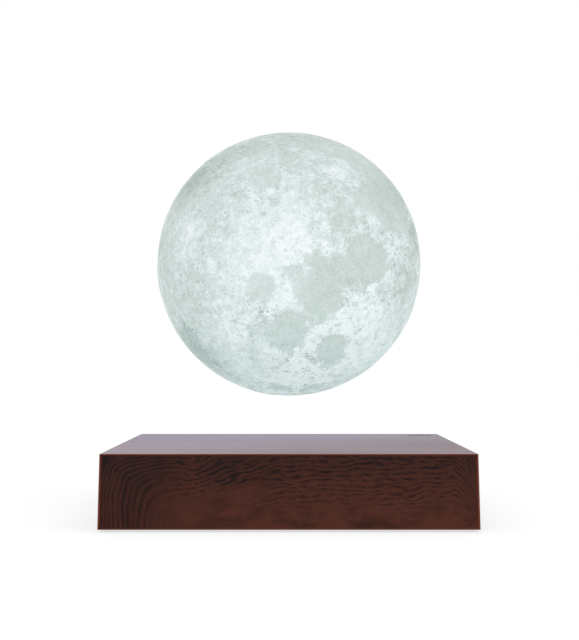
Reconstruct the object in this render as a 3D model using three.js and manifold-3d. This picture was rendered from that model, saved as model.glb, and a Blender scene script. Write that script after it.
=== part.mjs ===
// Levitating moon lamp: a hollow moon with a light inside floats over a square wood-grain base.
// Millimetres, +Z up. The origin is on the table, under the middle of the base.
import * as THREE from "three";
import { mergeVertices } from "three/addons/utils/BufferGeometryUtils.js";
import Module from "manifold-3d";

const wasm = await Module();
wasm.setup();

// Overall sizes
const baseWidth = 108;
const baseHeight = 22;
const levitationGap = 15;
const moonDiameter = 85;

// Clearances shared by all pieces
const fitGap = 0.3; // between pieces that slide or drop into each other
const seatGap = 0.1; // under small pieces that are soldered or glued down
const overrun = 1; // how far a cutter reaches past what it cuts
const weldDistance = 1e-4; // points closer than this are one point

// Base housing
const sideLean = 0.45; // how far each side leans in at the top
const housingWall = 2.5;
const topThickness = 2;
const edgeChamfer = 0.3;
const cornerRadius = 0.8;
const standHeight = 0.8; // the housing's lower edge above the table

// Touch switch, in the back right corner
const touchInset = 7.4; // from the right side of the top
const touchSetback = 11.6; // from its back
const touchRadius = 4;
const touchDepth = 0.3;

// Bottom cover
const coverRecess = 0.2;
const coverThickness = 2;
const rebateWidth = 1.2;
const lipThickness = 1.2;
const lipHeight = 1.5;
const lipLength = 28;
const lipCount = 4;
const ventWidth = 2;
const ventLength = 26;
const ventPitch = 5;
const ventCount = 6;

// Rubber feet
const footRadius = 5;
const footInset = 10;
const footPocketDepth = 0.8;
const footEdge = 0.5;

// Case screws and the bosses that they bite in
const screwRadius = 1.3;
const screwLength = 12;
const screwHeadRadius = 2.5;
const screwHeadHeight = 1.4;
const screwRecess = 0.1;
const crossWidth = 0.6;
const crossLength = 3;
const crossDepth = 0.9;
const biteGap = 0.2;
const bossRadius = 3;
const bossInset = 6;
const bossRib = 1.4;

// Main board
const boardThickness = 1.6;
const boardMargin = 1.5;
const underBoard = 2;
const chipThickness = 1.4;
const driverChip = [8, 6];
const controllerChip = [7, 7];
const chipSpacing = 24;

// Tray for the magnet and the coils
const trayMargin = 5;
const trayFloor = 1.2;
const trayRim = 1.7;
const trayRimHeight = 5;
const trayHub = 1.2;
const trayHubHeight = 2.5;
const trayLugThickness = 2;
const trayClearance = 1.5;

// Ring magnet and levitation coils
const ringBandShare = 0.27; // of the ring's outer radius
const ringThickness = 6;
const coilSpacingShare = 0.3; // between neighbouring coils, of the radius that all four fill
const coilFlange = 0.8;
const coilFlangeLip = 0.6;
const coilTube = 0.8;
const coreShare = 0.3; // of the coil's radius
const coilCount = 4;

// Position sensors in the middle of the coils
const sensorPillarRadius = 2.5;
const sensorBoardThickness = 1;
const sensorMargin = 2.5;
const sensorChip = [3, 2];
const sensorChipHeight = 1.2;
const sensorPlaceShare = 0.55;
const sensorCount = 3;

// Power coil under the top, wound flat
const litzDiameter = 1.2;
const litzGap = 0.8;
const litzTurns = 5;

// Touch spring, from the board up to the top
const springRadius = 2.8;
const springWire = 0.7;
const springTurns = 4;

// Power jack, in a round recess of the back wall
const jackWidth = 9;
const jackLength = 12;
const jackHeadroom = 2;
const jackRecess = 4.7;
const jackMouthRadius = 5.1;
const jackCollar = 1.2;
const jackBoreRadius = 3.2;
const jackBoreDepth = 9;
const jackPinRadius = 1;
const jackPinLength = 9.5;

// Tall parts in the corners of the board
const cornerInset = 9;
const headroom = 3;
const capacitorRadius = 5;
const inductorWidth = 10;
const inductorHeight = 5;
const inductorCorner = 2;

// Moon shell
const reliefProud = 0.15; // how far crater rims stand above the mean surface
const seaDepth = 0.5;
const seaShoreShares = [0.8, 1.1]; // where a sea's shore starts and ends, as shares of its radius
const craterDepth = 0.4;
const craterFloorShare = 0.4;
const craterRimShare = 0.3;
const shellWall = 1.8;
const hatchCollar = 1.6;
const hatchCollarHeight = 2;

// Hatch plug with the cup of the float magnet
const plugEdge = 1.5;
const plugFloor = 1.6;
const cupWall = 1.5;
const cupRebate = 0.8;
const cupRebateDepth = 1.8;
const hookThickness = 1;
const hookReach = 0.9;
const hookHeight = 1.2;
const hookAngle = 18;
const hookCount = 3;

// Float magnet, receiving coil and light engine
const magnetRadius = 12;
const magnetHeight = 8;
const magnetEdge = 0.4;
const receiveCoilWidth = 1.8;
const receiveCoilHeight = 4;
const moonBoardThickness = 1;
const bridgeChip = [4, 3.4];
const bridgeHeight = 1.6;
const smoothingRadius = 2;
const smoothingHeight = 5;
const postRadius = 6;
const postFootRadius = 7.2;
const postFootHeight = 1.2;
const postBore = 1.8;
const postHeight = 15;
const leadRadius = 0.8;
const lightBoardRadius = 12;
const ledSize = [3.5, 2.8];
const ledHeight = 0.8;
const ledCircle = 8.5;
const ledCount = 6;
const postScrewRadius = 0.8;
const postScrewLength = 5;
const postScrewHeadRadius = 1.7;
const postScrewHeadHeight = 1.1;
const postScrewCircle = 3.9;

// How finely round things are cut
const fineSides = 28;
const roundSides = 16;
const smallSides = 12;
const cornerSteps = 2;
const wireSides = 5;
const coilSteps = 18;
const springSteps = 8;
const moonDetail = 14;
const hollowDetail = 3;

// How the moon is turned: the latitude and longitude that face the front, and the way north points,
// clockwise from straight up as the front sees it. All in degrees.
const facing = { latitude: -7.8, longitude: 19.6, north: 96.1 };

// The dark seas of the real moon, as latitude, longitude and radius in degrees
const lunarSeas = [
  [16.4, 59.4, 7],
  [16.4, 63.4, 7],
  [26, 18.4, 11],
  [21.5, 22.5, 8],
  [8.5, 27.5, 8.5],
  [9, 37, 8],
  [1, 33, 6.5],
  [-4.5, 28, 4.5],
  [14.5, 22.5, 4.5],
  [-3, 49.5, 7.5],
  [-3.5, 56, 7],
  [-9.5, 53.5, 5],
  [-17.5, 55, 4],
  [-17.1, 34.7, 5.4],
  [37, -20, 15.5],
  [37, -37, 12],
  [26, -12, 7],
  [24, -38, 12],
  [8, -44, 12],
  [-20, -16, 7],
  [-10.5, -27.5, 4],
  [-24, -38, 6.5],
  [-37, -50, 8],
  [12.5, 4.5, 4.5],
  [57, 29, 6],
  [56.5, 8, 4.5],
  [57, -12, 5],
  [37, 33, 4.5],
  [57, 81, 4.5],
  [13.6, 90, 5],
  [-0.7, 91.4, 5.8],
  [-43, 92, 8],
  [-20, -95, 6],
  [27, 148, 5],
  [-34, 163, 5],
  [-53, -169, 16],
];

// Its largest craters and ringed plains, in the same form
const lunarCraters = [
  [-43.3, -11.4, 3.2],
  [9.6, -20.1, 3.2],
  [-58.8, -14.1, 4],
  [-9, -2, 3.2],
  [-33, -4.8, 4],
  [-8.9, 61, 3],
  [-25.4, 60.8, 3.4],
  [-45.4, 40.3, 3.6],
  [-44.5, -55.3, 3.8],
  [-12, 25.5, 3],
  [-42, 10, 3.4],
  [1.4, -128.7, 8],
  [-4.4, -157.4, 7],
  [-36.1, -151.8, 8],
  [5.7, 140.9, 5.5],
  [-20.2, 149.2, 4.6],
  [58.7, -146.1, 5.6],
  [-57.9, 136.8, 5.4],
  [-75, 132.4, 5.4],
  [50.8, 163.9, 4.2],
  [42, -118, 4],
  [-19.3, 122.6, 3.4],
  [32.6, -95.3, 5.2],
  [-35.2, -166.3, 4],
  [-65, 60, 4],
  [68, 70, 3.6],
  [-5, 110, 3.6],
  [20, 105, 4],
];

// Finishes
const finish = {
  woodGrain: { color: 0x41291f, roughness: 0.35, metalness: 0 },
  blackPlastic: { color: 0x1b1b1c, roughness: 0.6, metalness: 0 },
  rubber: { color: 0x222223, roughness: 0.9, metalness: 0 },
  steel: { color: 0xb9bcc0, roughness: 0.35, metalness: 1 },
  nickel: { color: 0xcfcfc8, roughness: 0.2, metalness: 1 },
  ferrite: { color: 0x35353a, roughness: 0.75, metalness: 0.1 },
  copper: { color: 0xb56a3c, roughness: 0.4, metalness: 1 },
  board: { color: 0x1f5a38, roughness: 0.5, metalness: 0 },
  whiteBoard: { color: 0xe9ece8, roughness: 0.5, metalness: 0 },
  whitePlastic: { color: 0xe4e5e0, roughness: 0.55, metalness: 0 },
  chip: { color: 0x19191b, roughness: 0.5, metalness: 0 },
  capacitor: { color: 0x2a3350, roughness: 0.4, metalness: 0.1 },
  lens: { color: 0xe8d36a, roughness: 0.4, metalness: 0 },
  moon: { color: 0xd3e0de, roughness: 0.7, metalness: 0 },
};

// A mesh's geometry as a solid that can be joined and cut
function solidOf(geometry) {
  const bare = geometry.index ? geometry.toNonIndexed() : geometry.clone();
  for (const name of Object.keys(bare.attributes)) {
    if (name !== "position") bare.deleteAttribute(name);
  }
  const merged = mergeVertices(bare, weldDistance);
  return new wasm.Manifold(
    new wasm.Mesh({
      numProp: 3,
      vertProperties: merged.attributes.position.array,
      triVerts: new Uint32Array(merged.index.array),
    }),
  );
}

function geometryOf(solid) {
  const mesh = solid.getMesh();
  const geometry = new THREE.BufferGeometry();
  geometry.setAttribute("position", new THREE.BufferAttribute(mesh.vertProperties, 3));
  geometry.setIndex(new THREE.BufferAttribute(mesh.triVerts, 1));
  const flat = geometry.toNonIndexed();
  flat.computeVertexNormals();
  return flat;
}

function joined(solids) {
  return solids.reduce((whole, solid) => whole.add(solid));
}

function cut(solid, cutters) {
  return cutters.reduce((left, cutter) => left.subtract(cutter), solid);
}

function moved(solid, x, y, z) {
  return solid.translate([x, y, z]);
}

// A solid turned about Z by an angle in degrees
function turned(solid, degrees) {
  return solid.rotate([0, 0, degrees]);
}

// A body of revolution about Z. The profile is [radius, height] pairs, counter-clockwise, from axis to axis
// or closed on itself.
function revolved(profile, sides = roundSides) {
  const points = profile.map(([radius, height]) => new THREE.Vector2(radius, height));
  return solidOf(new THREE.LatheGeometry(points, sides).rotateX(Math.PI / 2));
}

function rod(radius, bottom, top, sides = roundSides) {
  return revolved([[0, bottom], [radius, bottom], [radius, top], [0, top]], sides);
}

function ring(inner, outer, bottom, top, sides = roundSides) {
  return revolved([[inner, bottom], [outer, bottom], [outer, top], [inner, top], [inner, bottom]], sides);
}

function block(width, depth, bottom, top) {
  const geometry = new THREE.BoxGeometry(width, depth, top - bottom);
  return solidOf(geometry.translate(0, 0, (bottom + top) / 2));
}

// A square with rounded corners, centred on the origin
function roundedSquare(half, radius) {
  const shape = new THREE.Shape();
  const flat = half - radius;
  shape.absarc(flat, -flat, radius, -Math.PI / 2, 0);
  shape.absarc(flat, flat, radius, 0, Math.PI / 2);
  shape.absarc(-flat, flat, radius, Math.PI / 2, Math.PI);
  shape.absarc(-flat, -flat, radius, Math.PI, 1.5 * Math.PI);
  return shape;
}

function plate(half, radius, bottom, top) {
  const options = { depth: top - bottom, bevelEnabled: false, curveSegments: cornerSteps };
  const geometry = new THREE.ExtrudeGeometry(roundedSquare(half, radius), options);
  return solidOf(geometry.translate(0, 0, bottom));
}

// A closed solid through outlines that have the same number of points, from the lowest to the highest
function lofted(outlines) {
  const count = outlines[0].length;
  const positions = outlines.flat(2);
  const faces = [];
  for (let layer = 0; layer + 1 < outlines.length; layer++) {
    for (let i = 0; i < count; i++) {
      const a = layer * count + i;
      const b = layer * count + ((i + 1) % count);
      faces.push(a, b, b + count, a, b + count, a + count);
    }
  }
  const last = (outlines.length - 1) * count;
  for (let i = 1; i + 1 < count; i++) {
    faces.push(0, i + 1, i);
    faces.push(last, last + i, last + i + 1);
  }
  const geometry = new THREE.BufferGeometry();
  geometry.setAttribute("position", new THREE.Float32BufferAttribute(positions, 3));
  geometry.setIndex(faces);
  return solidOf(geometry);
}

function squareOutline(half, radius, height) {
  const points = roundedSquare(half, radius).getPoints(cornerSteps);
  return points.slice(0, -1).map((point) => [point.x, point.y, height]);
}

// A round wire wound about Z in equal steps. radiusAt and heightAt give the place of its centre line
// for a share of the way from 0 to 1.
function wound(turns, steps, wireRadius, radiusAt, heightAt) {
  const sides = wireSides;
  const rings = turns * steps + 1;
  const positions = [];
  const faces = [];
  for (let i = 0; i < rings; i++) {
    const share = i / (rings - 1);
    const angle = turns * 2 * Math.PI * share;
    for (let k = 0; k < sides; k++) {
      const around = (k / sides) * 2 * Math.PI;
      const radius = radiusAt(share) + wireRadius * Math.cos(around);
      const height = heightAt(share) + wireRadius * Math.sin(around);
      positions.push(radius * Math.cos(angle), radius * Math.sin(angle), height);
    }
  }
  for (let i = 0; i + 1 < rings; i++) {
    for (let k = 0; k < sides; k++) {
      const a = i * sides + k;
      const b = i * sides + ((k + 1) % sides);
      faces.push(a, b + sides, b, a, a + sides, b + sides);
    }
  }
  const last = (rings - 1) * sides;
  for (let k = 1; k + 1 < sides; k++) {
    faces.push(0, k, k + 1);
    faces.push(last, last + k + 1, last + k);
  }
  const geometry = new THREE.BufferGeometry();
  geometry.setAttribute("position", new THREE.Float32BufferAttribute(positions, 3));
  geometry.setIndex(faces);
  return solidOf(geometry);
}

// Levels of the base, from the table up
const coverBottom = standHeight + coverRecess;
const coverTop = coverBottom + coverThickness;
const ledge = coverTop + fitGap;
const boardBottom = coverTop + underBoard;
const boardTop = boardBottom + boardThickness;
const trayBottom = boardTop + fitGap;
const trayTop = trayBottom + trayFloor;
const lugTop = trayBottom + trayLugThickness;
const ceiling = baseHeight - topThickness;
const coilBottom = trayTop + fitGap;
const coilTop = ceiling - fitGap;
const litzTop = ceiling - fitGap;
const jackAxis = (boardTop + ceiling) / 2;

// Plan of the base, measured from its middle
const topHalf = baseWidth / 2 - sideLean;
const cavityHalf = topHalf - housingWall;
const rebateHalf = cavityHalf + rebateWidth;
const coverHalf = rebateHalf - fitGap;
const boardHalf = cavityHalf - boardMargin;
const trayRadius = cavityHalf - trayMargin;
const ringOuter = trayRadius - trayRim - fitGap;
const ringInner = ringOuter * (1 - ringBandShare);
const hubOuter = ringInner - fitGap;
const coilReach = hubOuter - trayHub - fitGap;
const coilRadius = (coilReach * (Math.SQRT2 - coilSpacingShare)) / (2 + Math.SQRT2);
const coilCircle = coilReach - coilRadius;
const coreRadius = coilRadius * coreShare;
const sensorBoardRadius = coilCircle - coilRadius - sensorMargin;
const bossX = cavityHalf - bossInset;
const bossY = Math.sqrt((trayRadius + trayClearance + bossRadius) ** 2 - bossX ** 2);
const footPlace = coverHalf - footInset;
const touchPlace = [topHalf - touchInset, topHalf - touchSetback];
const cornerPlace = boardHalf - cornerInset;
const outerFaceAtJack = baseWidth / 2 - (sideLean * (jackAxis - standHeight)) / (baseHeight - standHeight);
const jackFace = outerFaceAtJack - jackRecess;
const jackRear = jackFace - jackLength;
const jackX = -Math.sqrt((trayRadius + trayClearance) ** 2 - jackRear ** 2) - jackWidth / 2;

const bossPlaces = [
  [-bossX, -bossY],
  [bossX, -bossY],
  [bossX, bossY],
  [-bossX, bossY],
];
const footPlaces = [
  [-footPlace, -footPlace],
  [footPlace, -footPlace],
  [footPlace, footPlace],
  [-footPlace, footPlace],
];

// The round recess of the power jack, and the collar around it, as solids about the jack's axis
function alongJack(solid) {
  return moved(solid.rotate([-90, 0, 0]), jackX, 0, jackAxis);
}

function baseHousing() {
  const outer = lofted([
    squareOutline(baseWidth / 2, cornerRadius, standHeight),
    squareOutline(topHalf, cornerRadius, baseHeight - edgeChamfer),
    squareOutline(topHalf - edgeChamfer, cornerRadius, baseHeight),
  ]);
  const cavity = plate(cavityHalf, cornerRadius, standHeight - overrun, ceiling);
  const rebate = plate(rebateHalf, cornerRadius, standHeight - overrun, ledge);
  const dish = rod(touchRadius, baseHeight - touchDepth, baseHeight + overrun);
  const shell = cut(outer, [cavity, rebate, moved(dish, ...touchPlace, 0)]);
  const collarRadius = jackMouthRadius + jackCollar;
  const collar = alongJack(rod(collarRadius, jackFace + fitGap, cavityHalf + housingWall / 2));
  const mouth = alongJack(rod(jackMouthRadius, jackFace - overrun, baseWidth / 2 + overrun));
  const bossBottom = lugTop + fitGap;
  const bossTop = ceiling + topThickness / 2;
  const reach = bossInset + housingWall / 2;
  const bosses = bossPlaces.map(([x, y]) => {
    const post = rod(bossRadius, bossBottom, bossTop, smallSides);
    const rib = moved(block(reach, bossRib, bossBottom, bossTop), (Math.sign(x) * reach) / 2, 0, 0);
    return moved(post.add(rib), x, y, 0);
  });
  const pilots = bossPlaces.map(([x, y]) => {
    return moved(rod(screwRadius + biteGap, bossBottom - overrun, screwTop + fitGap, smallSides), x, y, 0);
  });
  return cut(joined([shell, collar, ...bosses]), [mouth, ...pilots]);
}

// The case screws sit in the cover from below, and this is how high their points reach
const screwTop = coverBottom + screwRecess + screwLength;

function bottomCover() {
  const body = plate(coverHalf, cornerRadius, coverBottom, coverTop);
  const lipPlace = cavityHalf - fitGap - lipThickness / 2;
  const lip = block(lipThickness, lipLength, coverTop - coverThickness / 2, coverTop + lipHeight);
  const lips = Array.from({ length: lipCount }, (_, i) => {
    return turned(moved(lip, lipPlace, 0, 0), (i * 360) / lipCount);
  });
  const spacers = bossPlaces.map(([x, y]) => {
    const spacer = rod(bossRadius, coverTop - coverThickness / 2, boardBottom - seatGap, smallSides);
    return moved(spacer, x, y, 0);
  });
  const holes = bossPlaces.map(([x, y]) => {
    const seat = screwHeadRadius + biteGap;
    const hole = revolved([
      [0, coverBottom - overrun],
      [seat, coverBottom - overrun],
      [seat, coverBottom + screwRecess + seatGap],
      [screwRadius + biteGap, coverBottom + screwRecess + screwHeadHeight + seatGap],
      [screwRadius + biteGap, boardBottom + overrun],
      [0, boardBottom + overrun],
    ], smallSides);
    return moved(hole, x, y, 0);
  });
  const pockets = footPlaces.map(([x, y]) => {
    const pocket = rod(footRadius + fitGap, coverBottom - overrun, coverBottom + footPocketDepth);
    return moved(pocket, x, y, 0);
  });
  const vents = Array.from({ length: ventCount }, (_, i) => {
    const vent = block(ventWidth, ventLength, coverBottom - overrun, coverTop + overrun);
    return moved(vent, (i - (ventCount - 1) / 2) * ventPitch, 0, 0);
  });
  return cut(joined([body, ...lips, ...spacers]), [...holes, ...pockets, ...vents]);
}

function foot() {
  const top = coverBottom + footPocketDepth - seatGap;
  return revolved([
    [0, 0],
    [footRadius - footEdge, 0],
    [footRadius, footEdge],
    [footRadius, top],
    [0, top],
  ]);
}

// A countersunk screw with its head down, its flat face at zero, and a cross recess
function caseScrew() {
  const body = revolved(
    [
      [0, 0],
      [screwHeadRadius, 0],
      [screwRadius, screwHeadHeight],
      [screwRadius, screwLength],
      [0, screwLength],
    ],
    smallSides,
  );
  const slot = block(crossLength, crossWidth, -overrun, crossDepth);
  return cut(body, [slot, turned(slot, 90)]);
}

function mainBoard() {
  const body = plate(boardHalf, cornerRadius, boardBottom, boardTop);
  const holes = bossPlaces.map(([x, y]) => {
    return moved(rod(screwRadius + fitGap, boardBottom - overrun, boardTop + overrun, smallSides), x, y, 0);
  });
  return cut(body, holes);
}

// A soldered package, standing on zero
function chip([width, depth], height) {
  return block(width, depth, 0, height);
}

function magnetTray() {
  const root = trayTop - trayFloor / 2;
  const floor = rod(trayRadius, trayBottom, trayTop, fineSides);
  const rim = ring(trayRadius - trayRim, trayRadius, root, trayTop + trayRimHeight, fineSides);
  const hub = ring(hubOuter - trayHub, hubOuter, root, trayTop + trayHubHeight, fineSides);
  const pillar = rod(sensorPillarRadius, root, sensorBottom - seatGap);
  const reach = trayClearance + bossRadius + trayRim / 2;
  const lugs = bossPlaces.map(([x, y]) => {
    const pad = moved(rod(bossRadius, trayBottom, lugTop, smallSides), x, y, 0);
    const arm = block(reach, 2 * bossRadius, trayBottom, lugTop);
    const outward = moved(arm, trayRadius - trayRim / 2 + reach / 2, 0, 0);
    return pad.add(turned(outward, THREE.MathUtils.radToDeg(Math.atan2(y, x))));
  });
  const holes = bossPlaces.map(([x, y]) => {
    return moved(rod(screwRadius + fitGap, trayBottom - overrun, lugTop + overrun, smallSides), x, y, 0);
  });
  return cut(joined([floor, rim, hub, pillar, ...lugs]), holes);
}

// The sensor board stands half way up the coils
const sensorBottom = (coilBottom + coilTop - sensorBoardThickness) / 2;

function ringMagnet() {
  return ring(ringInner, ringOuter, trayTop + seatGap, trayTop + seatGap + ringThickness, fineSides);
}

// One levitation coil, about its own axis: the spool, its winding and the iron in its bore
function coilBobbin() {
  const bore = coreRadius + fitGap;
  const tube = bore + coilTube;
  return revolved([
    [bore, coilBottom],
    [coilRadius, coilBottom],
    [coilRadius, coilBottom + coilFlange],
    [tube, coilBottom + coilFlange],
    [tube, coilTop - coilFlange],
    [coilRadius, coilTop - coilFlange],
    [coilRadius, coilTop],
    [bore, coilTop],
    [bore, coilBottom],
  ]);
}

function coilWinding() {
  const inner = coreRadius + fitGap + coilTube + seatGap;
  const end = coilFlange + seatGap;
  return ring(inner, coilRadius - coilFlangeLip, coilBottom + end, coilTop - end);
}

function coilCore() {
  return rod(coreRadius, coilBottom, coilTop, smallSides);
}

function sensorBoard() {
  return rod(sensorBoardRadius, sensorBottom, sensorBottom + sensorBoardThickness);
}

function transmitCoil() {
  const wire = litzDiameter / 2;
  const outer = ringOuter - wire;
  const band = litzTurns * (litzDiameter + litzGap);
  return wound(litzTurns, coilSteps, wire, (share) => outer - share * band, () => litzTop - wire);
}

function touchSpring() {
  const wire = springWire / 2;
  const bottom = boardTop + seatGap + wire;
  const rise = ceiling - fitGap - wire - bottom;
  return wound(springTurns, springSteps, wire, () => springRadius, (share) => bottom + share * rise);
}

function powerJack() {
  const box = block(jackWidth, jackLength, boardTop + seatGap, ceiling - jackHeadroom);
  const body = moved(box, jackX, jackFace - jackLength / 2, 0);
  const bore = alongJack(rod(jackBoreRadius, jackFace - jackBoreDepth, jackFace + overrun));
  const socket = alongJack(rod(jackPinRadius + seatGap, jackRear - overrun, jackFace, smallSides));
  return cut(body, [bore, socket]);
}

// The centre contact, from the jack's rear towards its mouth
function jackPin() {
  const tip = jackRear + jackPinLength;
  const pin = revolved(
    [
      [0, jackRear],
      [jackPinRadius, jackRear],
      [jackPinRadius, tip - jackPinRadius / 2],
      [jackPinRadius / 2, tip],
      [0, tip],
    ],
    smallSides,
  );
  return alongJack(pin);
}

function bulkCapacitor() {
  return rod(capacitorRadius, boardTop + seatGap, ceiling - headroom);
}

function powerInductor() {
  return plate(inductorWidth / 2, inductorCorner, boardTop + seatGap, boardTop + seatGap + inductorHeight);
}

// The moon's own frame has its centre at the origin and its hatch straight down.
const moonRadius = moonDiameter / 2;
const meanRadius = moonRadius - reliefProud;
const hollowRadius = meanRadius - shellWall;
const onSphere = (radius, out) => -Math.sqrt(radius ** 2 - out ** 2);

// A unit vector of the moon's own globe, X through latitude and longitude zero and Z through north
function globePoint(latitude, longitude) {
  const up = THREE.MathUtils.degToRad(latitude);
  const along = THREE.MathUtils.degToRad(longitude);
  return new THREE.Vector3(Math.cos(up) * Math.cos(along), Math.cos(up) * Math.sin(along), Math.sin(up));
}

// The turn that brings the facing point to the front, with north at its angle in the picture
function globeTurn() {
  const toFront = globePoint(facing.latitude, facing.longitude);
  const north = new THREE.Vector3(0, 0, 1);
  const up = north.addScaledVector(toFront, -north.dot(toFront)).normalize();
  const east = new THREE.Vector3().crossVectors(up, toFront);
  const angle = THREE.MathUtils.degToRad(facing.north);
  const globe = new THREE.Matrix4().makeBasis(east, toFront, up).transpose();
  const upAt = new THREE.Vector3(Math.sin(angle), 0, Math.cos(angle));
  const frontAt = new THREE.Vector3(0, -1, 0);
  const eastAt = new THREE.Vector3().crossVectors(upAt, frontAt);
  return new THREE.Matrix4().makeBasis(eastAt, frontAt, upAt).multiply(globe);
}

const turn = globeTurn();
function turnedPlaces(table) {
  return table.map(([latitude, longitude, radius]) => ({
    centre: globePoint(latitude, longitude).applyMatrix4(turn),
    radius: THREE.MathUtils.degToRad(radius),
  }));
}
const seas = turnedPlaces(lunarSeas);
const craters = turnedPlaces(lunarCraters);

// How far the surface lies from its mean radius, in a direction from the centre
function relief(direction) {
  let sea = 0;
  for (const { centre, radius } of seas) {
    const share = direction.angleTo(centre) / radius;
    sea = Math.max(sea, 1 - THREE.MathUtils.smoothstep(share, ...seaShoreShares));
  }
  let height = -seaDepth * sea;
  for (const { centre, radius } of craters) {
    const share = direction.angleTo(centre) / radius;
    const bowl = 1 - THREE.MathUtils.smoothstep(share, craterFloorShare, 1);
    const rim = Math.exp(-(((share - 1) / craterRimShare) ** 2));
    height += reliefProud * rim - craterDepth * bowl;
  }
  return Math.min(height, reliefProud);
}

function moonBall() {
  const geometry = new THREE.IcosahedronGeometry(1, moonDetail);
  const position = geometry.attributes.position;
  const direction = new THREE.Vector3();
  for (let i = 0; i < position.count; i++) {
    direction.fromBufferAttribute(position, i).normalize();
    direction.multiplyScalar(meanRadius + relief(direction));
    position.setXYZ(i, direction.x, direction.y, direction.z);
  }
  return solidOf(geometry);
}

const ball = moonBall();

// The hatch is as wide as what goes through it: the magnet in its cup, the coil round it and the hooks
const cupBore = magnetRadius + fitGap;
const receiveInner = cupBore + cupWall + fitGap;
const plugRadius = receiveInner + receiveCoilWidth + fitGap + hookThickness;
const hatchRadius = plugRadius + fitGap;
const collarTop = onSphere(hollowRadius, hatchRadius + hatchCollar) + hatchCollarHeight;

function moonShell() {
  const hollow = solidOf(new THREE.IcosahedronGeometry(hollowRadius, hollowDetail));
  const collar = rod(hatchRadius + hatchCollar, -meanRadius, collarTop, fineSides).intersect(ball);
  const hatch = rod(hatchRadius, -moonRadius - overrun, collarTop + overrun, fineSides);
  return cut(ball.subtract(hollow).add(collar), [hatch]);
}

// Levels inside the plug
const plugDeck = onSphere(meanRadius, plugRadius) + plugEdge;
const cupFloor = onSphere(meanRadius, cupBore) + plugFloor;
const magnetBottom = cupFloor + fitGap;
const magnetTop = magnetBottom + magnetHeight;
const cupShoulder = magnetTop + fitGap;
const cupRim = cupShoulder + cupRebateDepth;
const moonBoardRadius = cupBore + cupRebate - fitGap;
const moonBoardBottom = cupShoulder + seatGap;
const moonBoardTop = moonBoardBottom + moonBoardThickness;
const postBottom = moonBoardTop + seatGap;
const postTop = postBottom + postHeight;
const lightBoardBottom = postTop + seatGap;
const lightBoardTop = lightBoardBottom + moonBoardThickness;
const hookBottom = collarTop + fitGap;

// One snap hook, on the X axis: a slice of a thin wall with a barb that catches the collar's top
function snapHook() {
  const inner = plugRadius - hookThickness;
  const top = hookBottom + hookHeight;
  const stem = ring(inner, plugRadius, plugDeck - plugEdge / 2, top, fineSides);
  const barb = revolved(
    [
      [inner, hookBottom],
      [plugRadius + hookReach, hookBottom],
      [plugRadius, top],
      [inner, top],
      [inner, hookBottom],
    ],
    fineSides,
  );
  const slice = wedge(hookAngle, plugRadius + 2 * hookReach, plugDeck - plugEdge, top + overrun);
  return stem.add(barb).intersect(slice);
}

function hatchPlug() {
  const cap = ball.intersect(rod(plugRadius, -moonRadius - overrun, plugDeck, fineSides));
  const cup = rod(cupBore + cupWall, plugDeck - plugEdge / 2, cupRim, fineSides);
  const hooks = Array.from({ length: hookCount }, (_, i) => turned(snapHook(), (i * 360) / hookCount));
  const pocket = rod(cupBore, cupFloor, cupRim + overrun, fineSides);
  const rebate = rod(cupBore + cupRebate, cupShoulder, cupRim + overrun, fineSides);
  return cut(joined([cap, cup, ...hooks]), [pocket, rebate]);
}

// The space within an angle about the X axis
function wedge(degrees, radius, bottom, top) {
  const half = THREE.MathUtils.degToRad(degrees / 2);
  const shape = new THREE.Shape();
  shape.moveTo(0, 0);
  shape.lineTo(radius / Math.cos(half), -radius * Math.tan(half));
  shape.lineTo(radius / Math.cos(half), radius * Math.tan(half));
  shape.closePath();
  const geometry = new THREE.ExtrudeGeometry(shape, { depth: top - bottom, bevelEnabled: false });
  return solidOf(geometry.translate(0, 0, bottom));
}

function floatMagnet() {
  const r = magnetRadius;
  return revolved(
    [
      [0, magnetBottom],
      [r - magnetEdge, magnetBottom],
      [r, magnetBottom + magnetEdge],
      [r, magnetTop - magnetEdge],
      [r - magnetEdge, magnetTop],
      [0, magnetTop],
    ],
    fineSides,
  );
}

function receiveCoil() {
  const bottom = plugDeck + seatGap;
  return ring(receiveInner, receiveInner + receiveCoilWidth, bottom, bottom + receiveCoilHeight, fineSides);
}

function rectifierBoard() {
  return rod(moonBoardRadius, moonBoardBottom, moonBoardTop);
}

// The hollow post that lifts the light board towards the middle of the moon
function lightPost() {
  const body = revolved([
    [postBore, postBottom],
    [postFootRadius, postBottom],
    [postFootRadius, postBottom + postFootHeight],
    [postRadius, postBottom + postFootHeight],
    [postRadius, postTop],
    [postBore, postTop],
    [postBore, postBottom],
  ]);
  const screwPoint = lightBoardTop - postScrewLength - seatGap;
  const pilots = [-1, 1].map((side) => {
    const pilot = rod(postScrewRadius + seatGap, screwPoint, postTop + overrun, smallSides);
    return moved(pilot, side * postScrewCircle, 0, 0);
  });
  return cut(body, pilots);
}

function lightBoard() {
  const holes = [-1, 1].map((side) => {
    const radius = postScrewRadius + seatGap;
    const hole = rod(radius, lightBoardBottom - overrun, lightBoardTop + overrun, smallSides);
    return moved(hole, side * postScrewCircle, 0, 0);
  });
  return cut(rod(lightBoardRadius, lightBoardBottom, lightBoardTop), holes);
}

// A pan head screw that holds the light board, its point down, with the underside of its head at zero
function postScrew() {
  const body = revolved(
    [
      [0, -postScrewLength],
      [postScrewRadius, -postScrewLength],
      [postScrewRadius, 0],
      [postScrewHeadRadius, 0],
      [postScrewHeadRadius / 2, postScrewHeadHeight],
      [0, postScrewHeadHeight],
    ],
    smallSides,
  );
  const top = postScrewHeadHeight + overrun;
  const slot = block(postScrewHeadRadius, crossWidth, postScrewHeadHeight / 2, top);
  return cut(body, [slot, turned(slot, 90)]);
}

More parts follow.
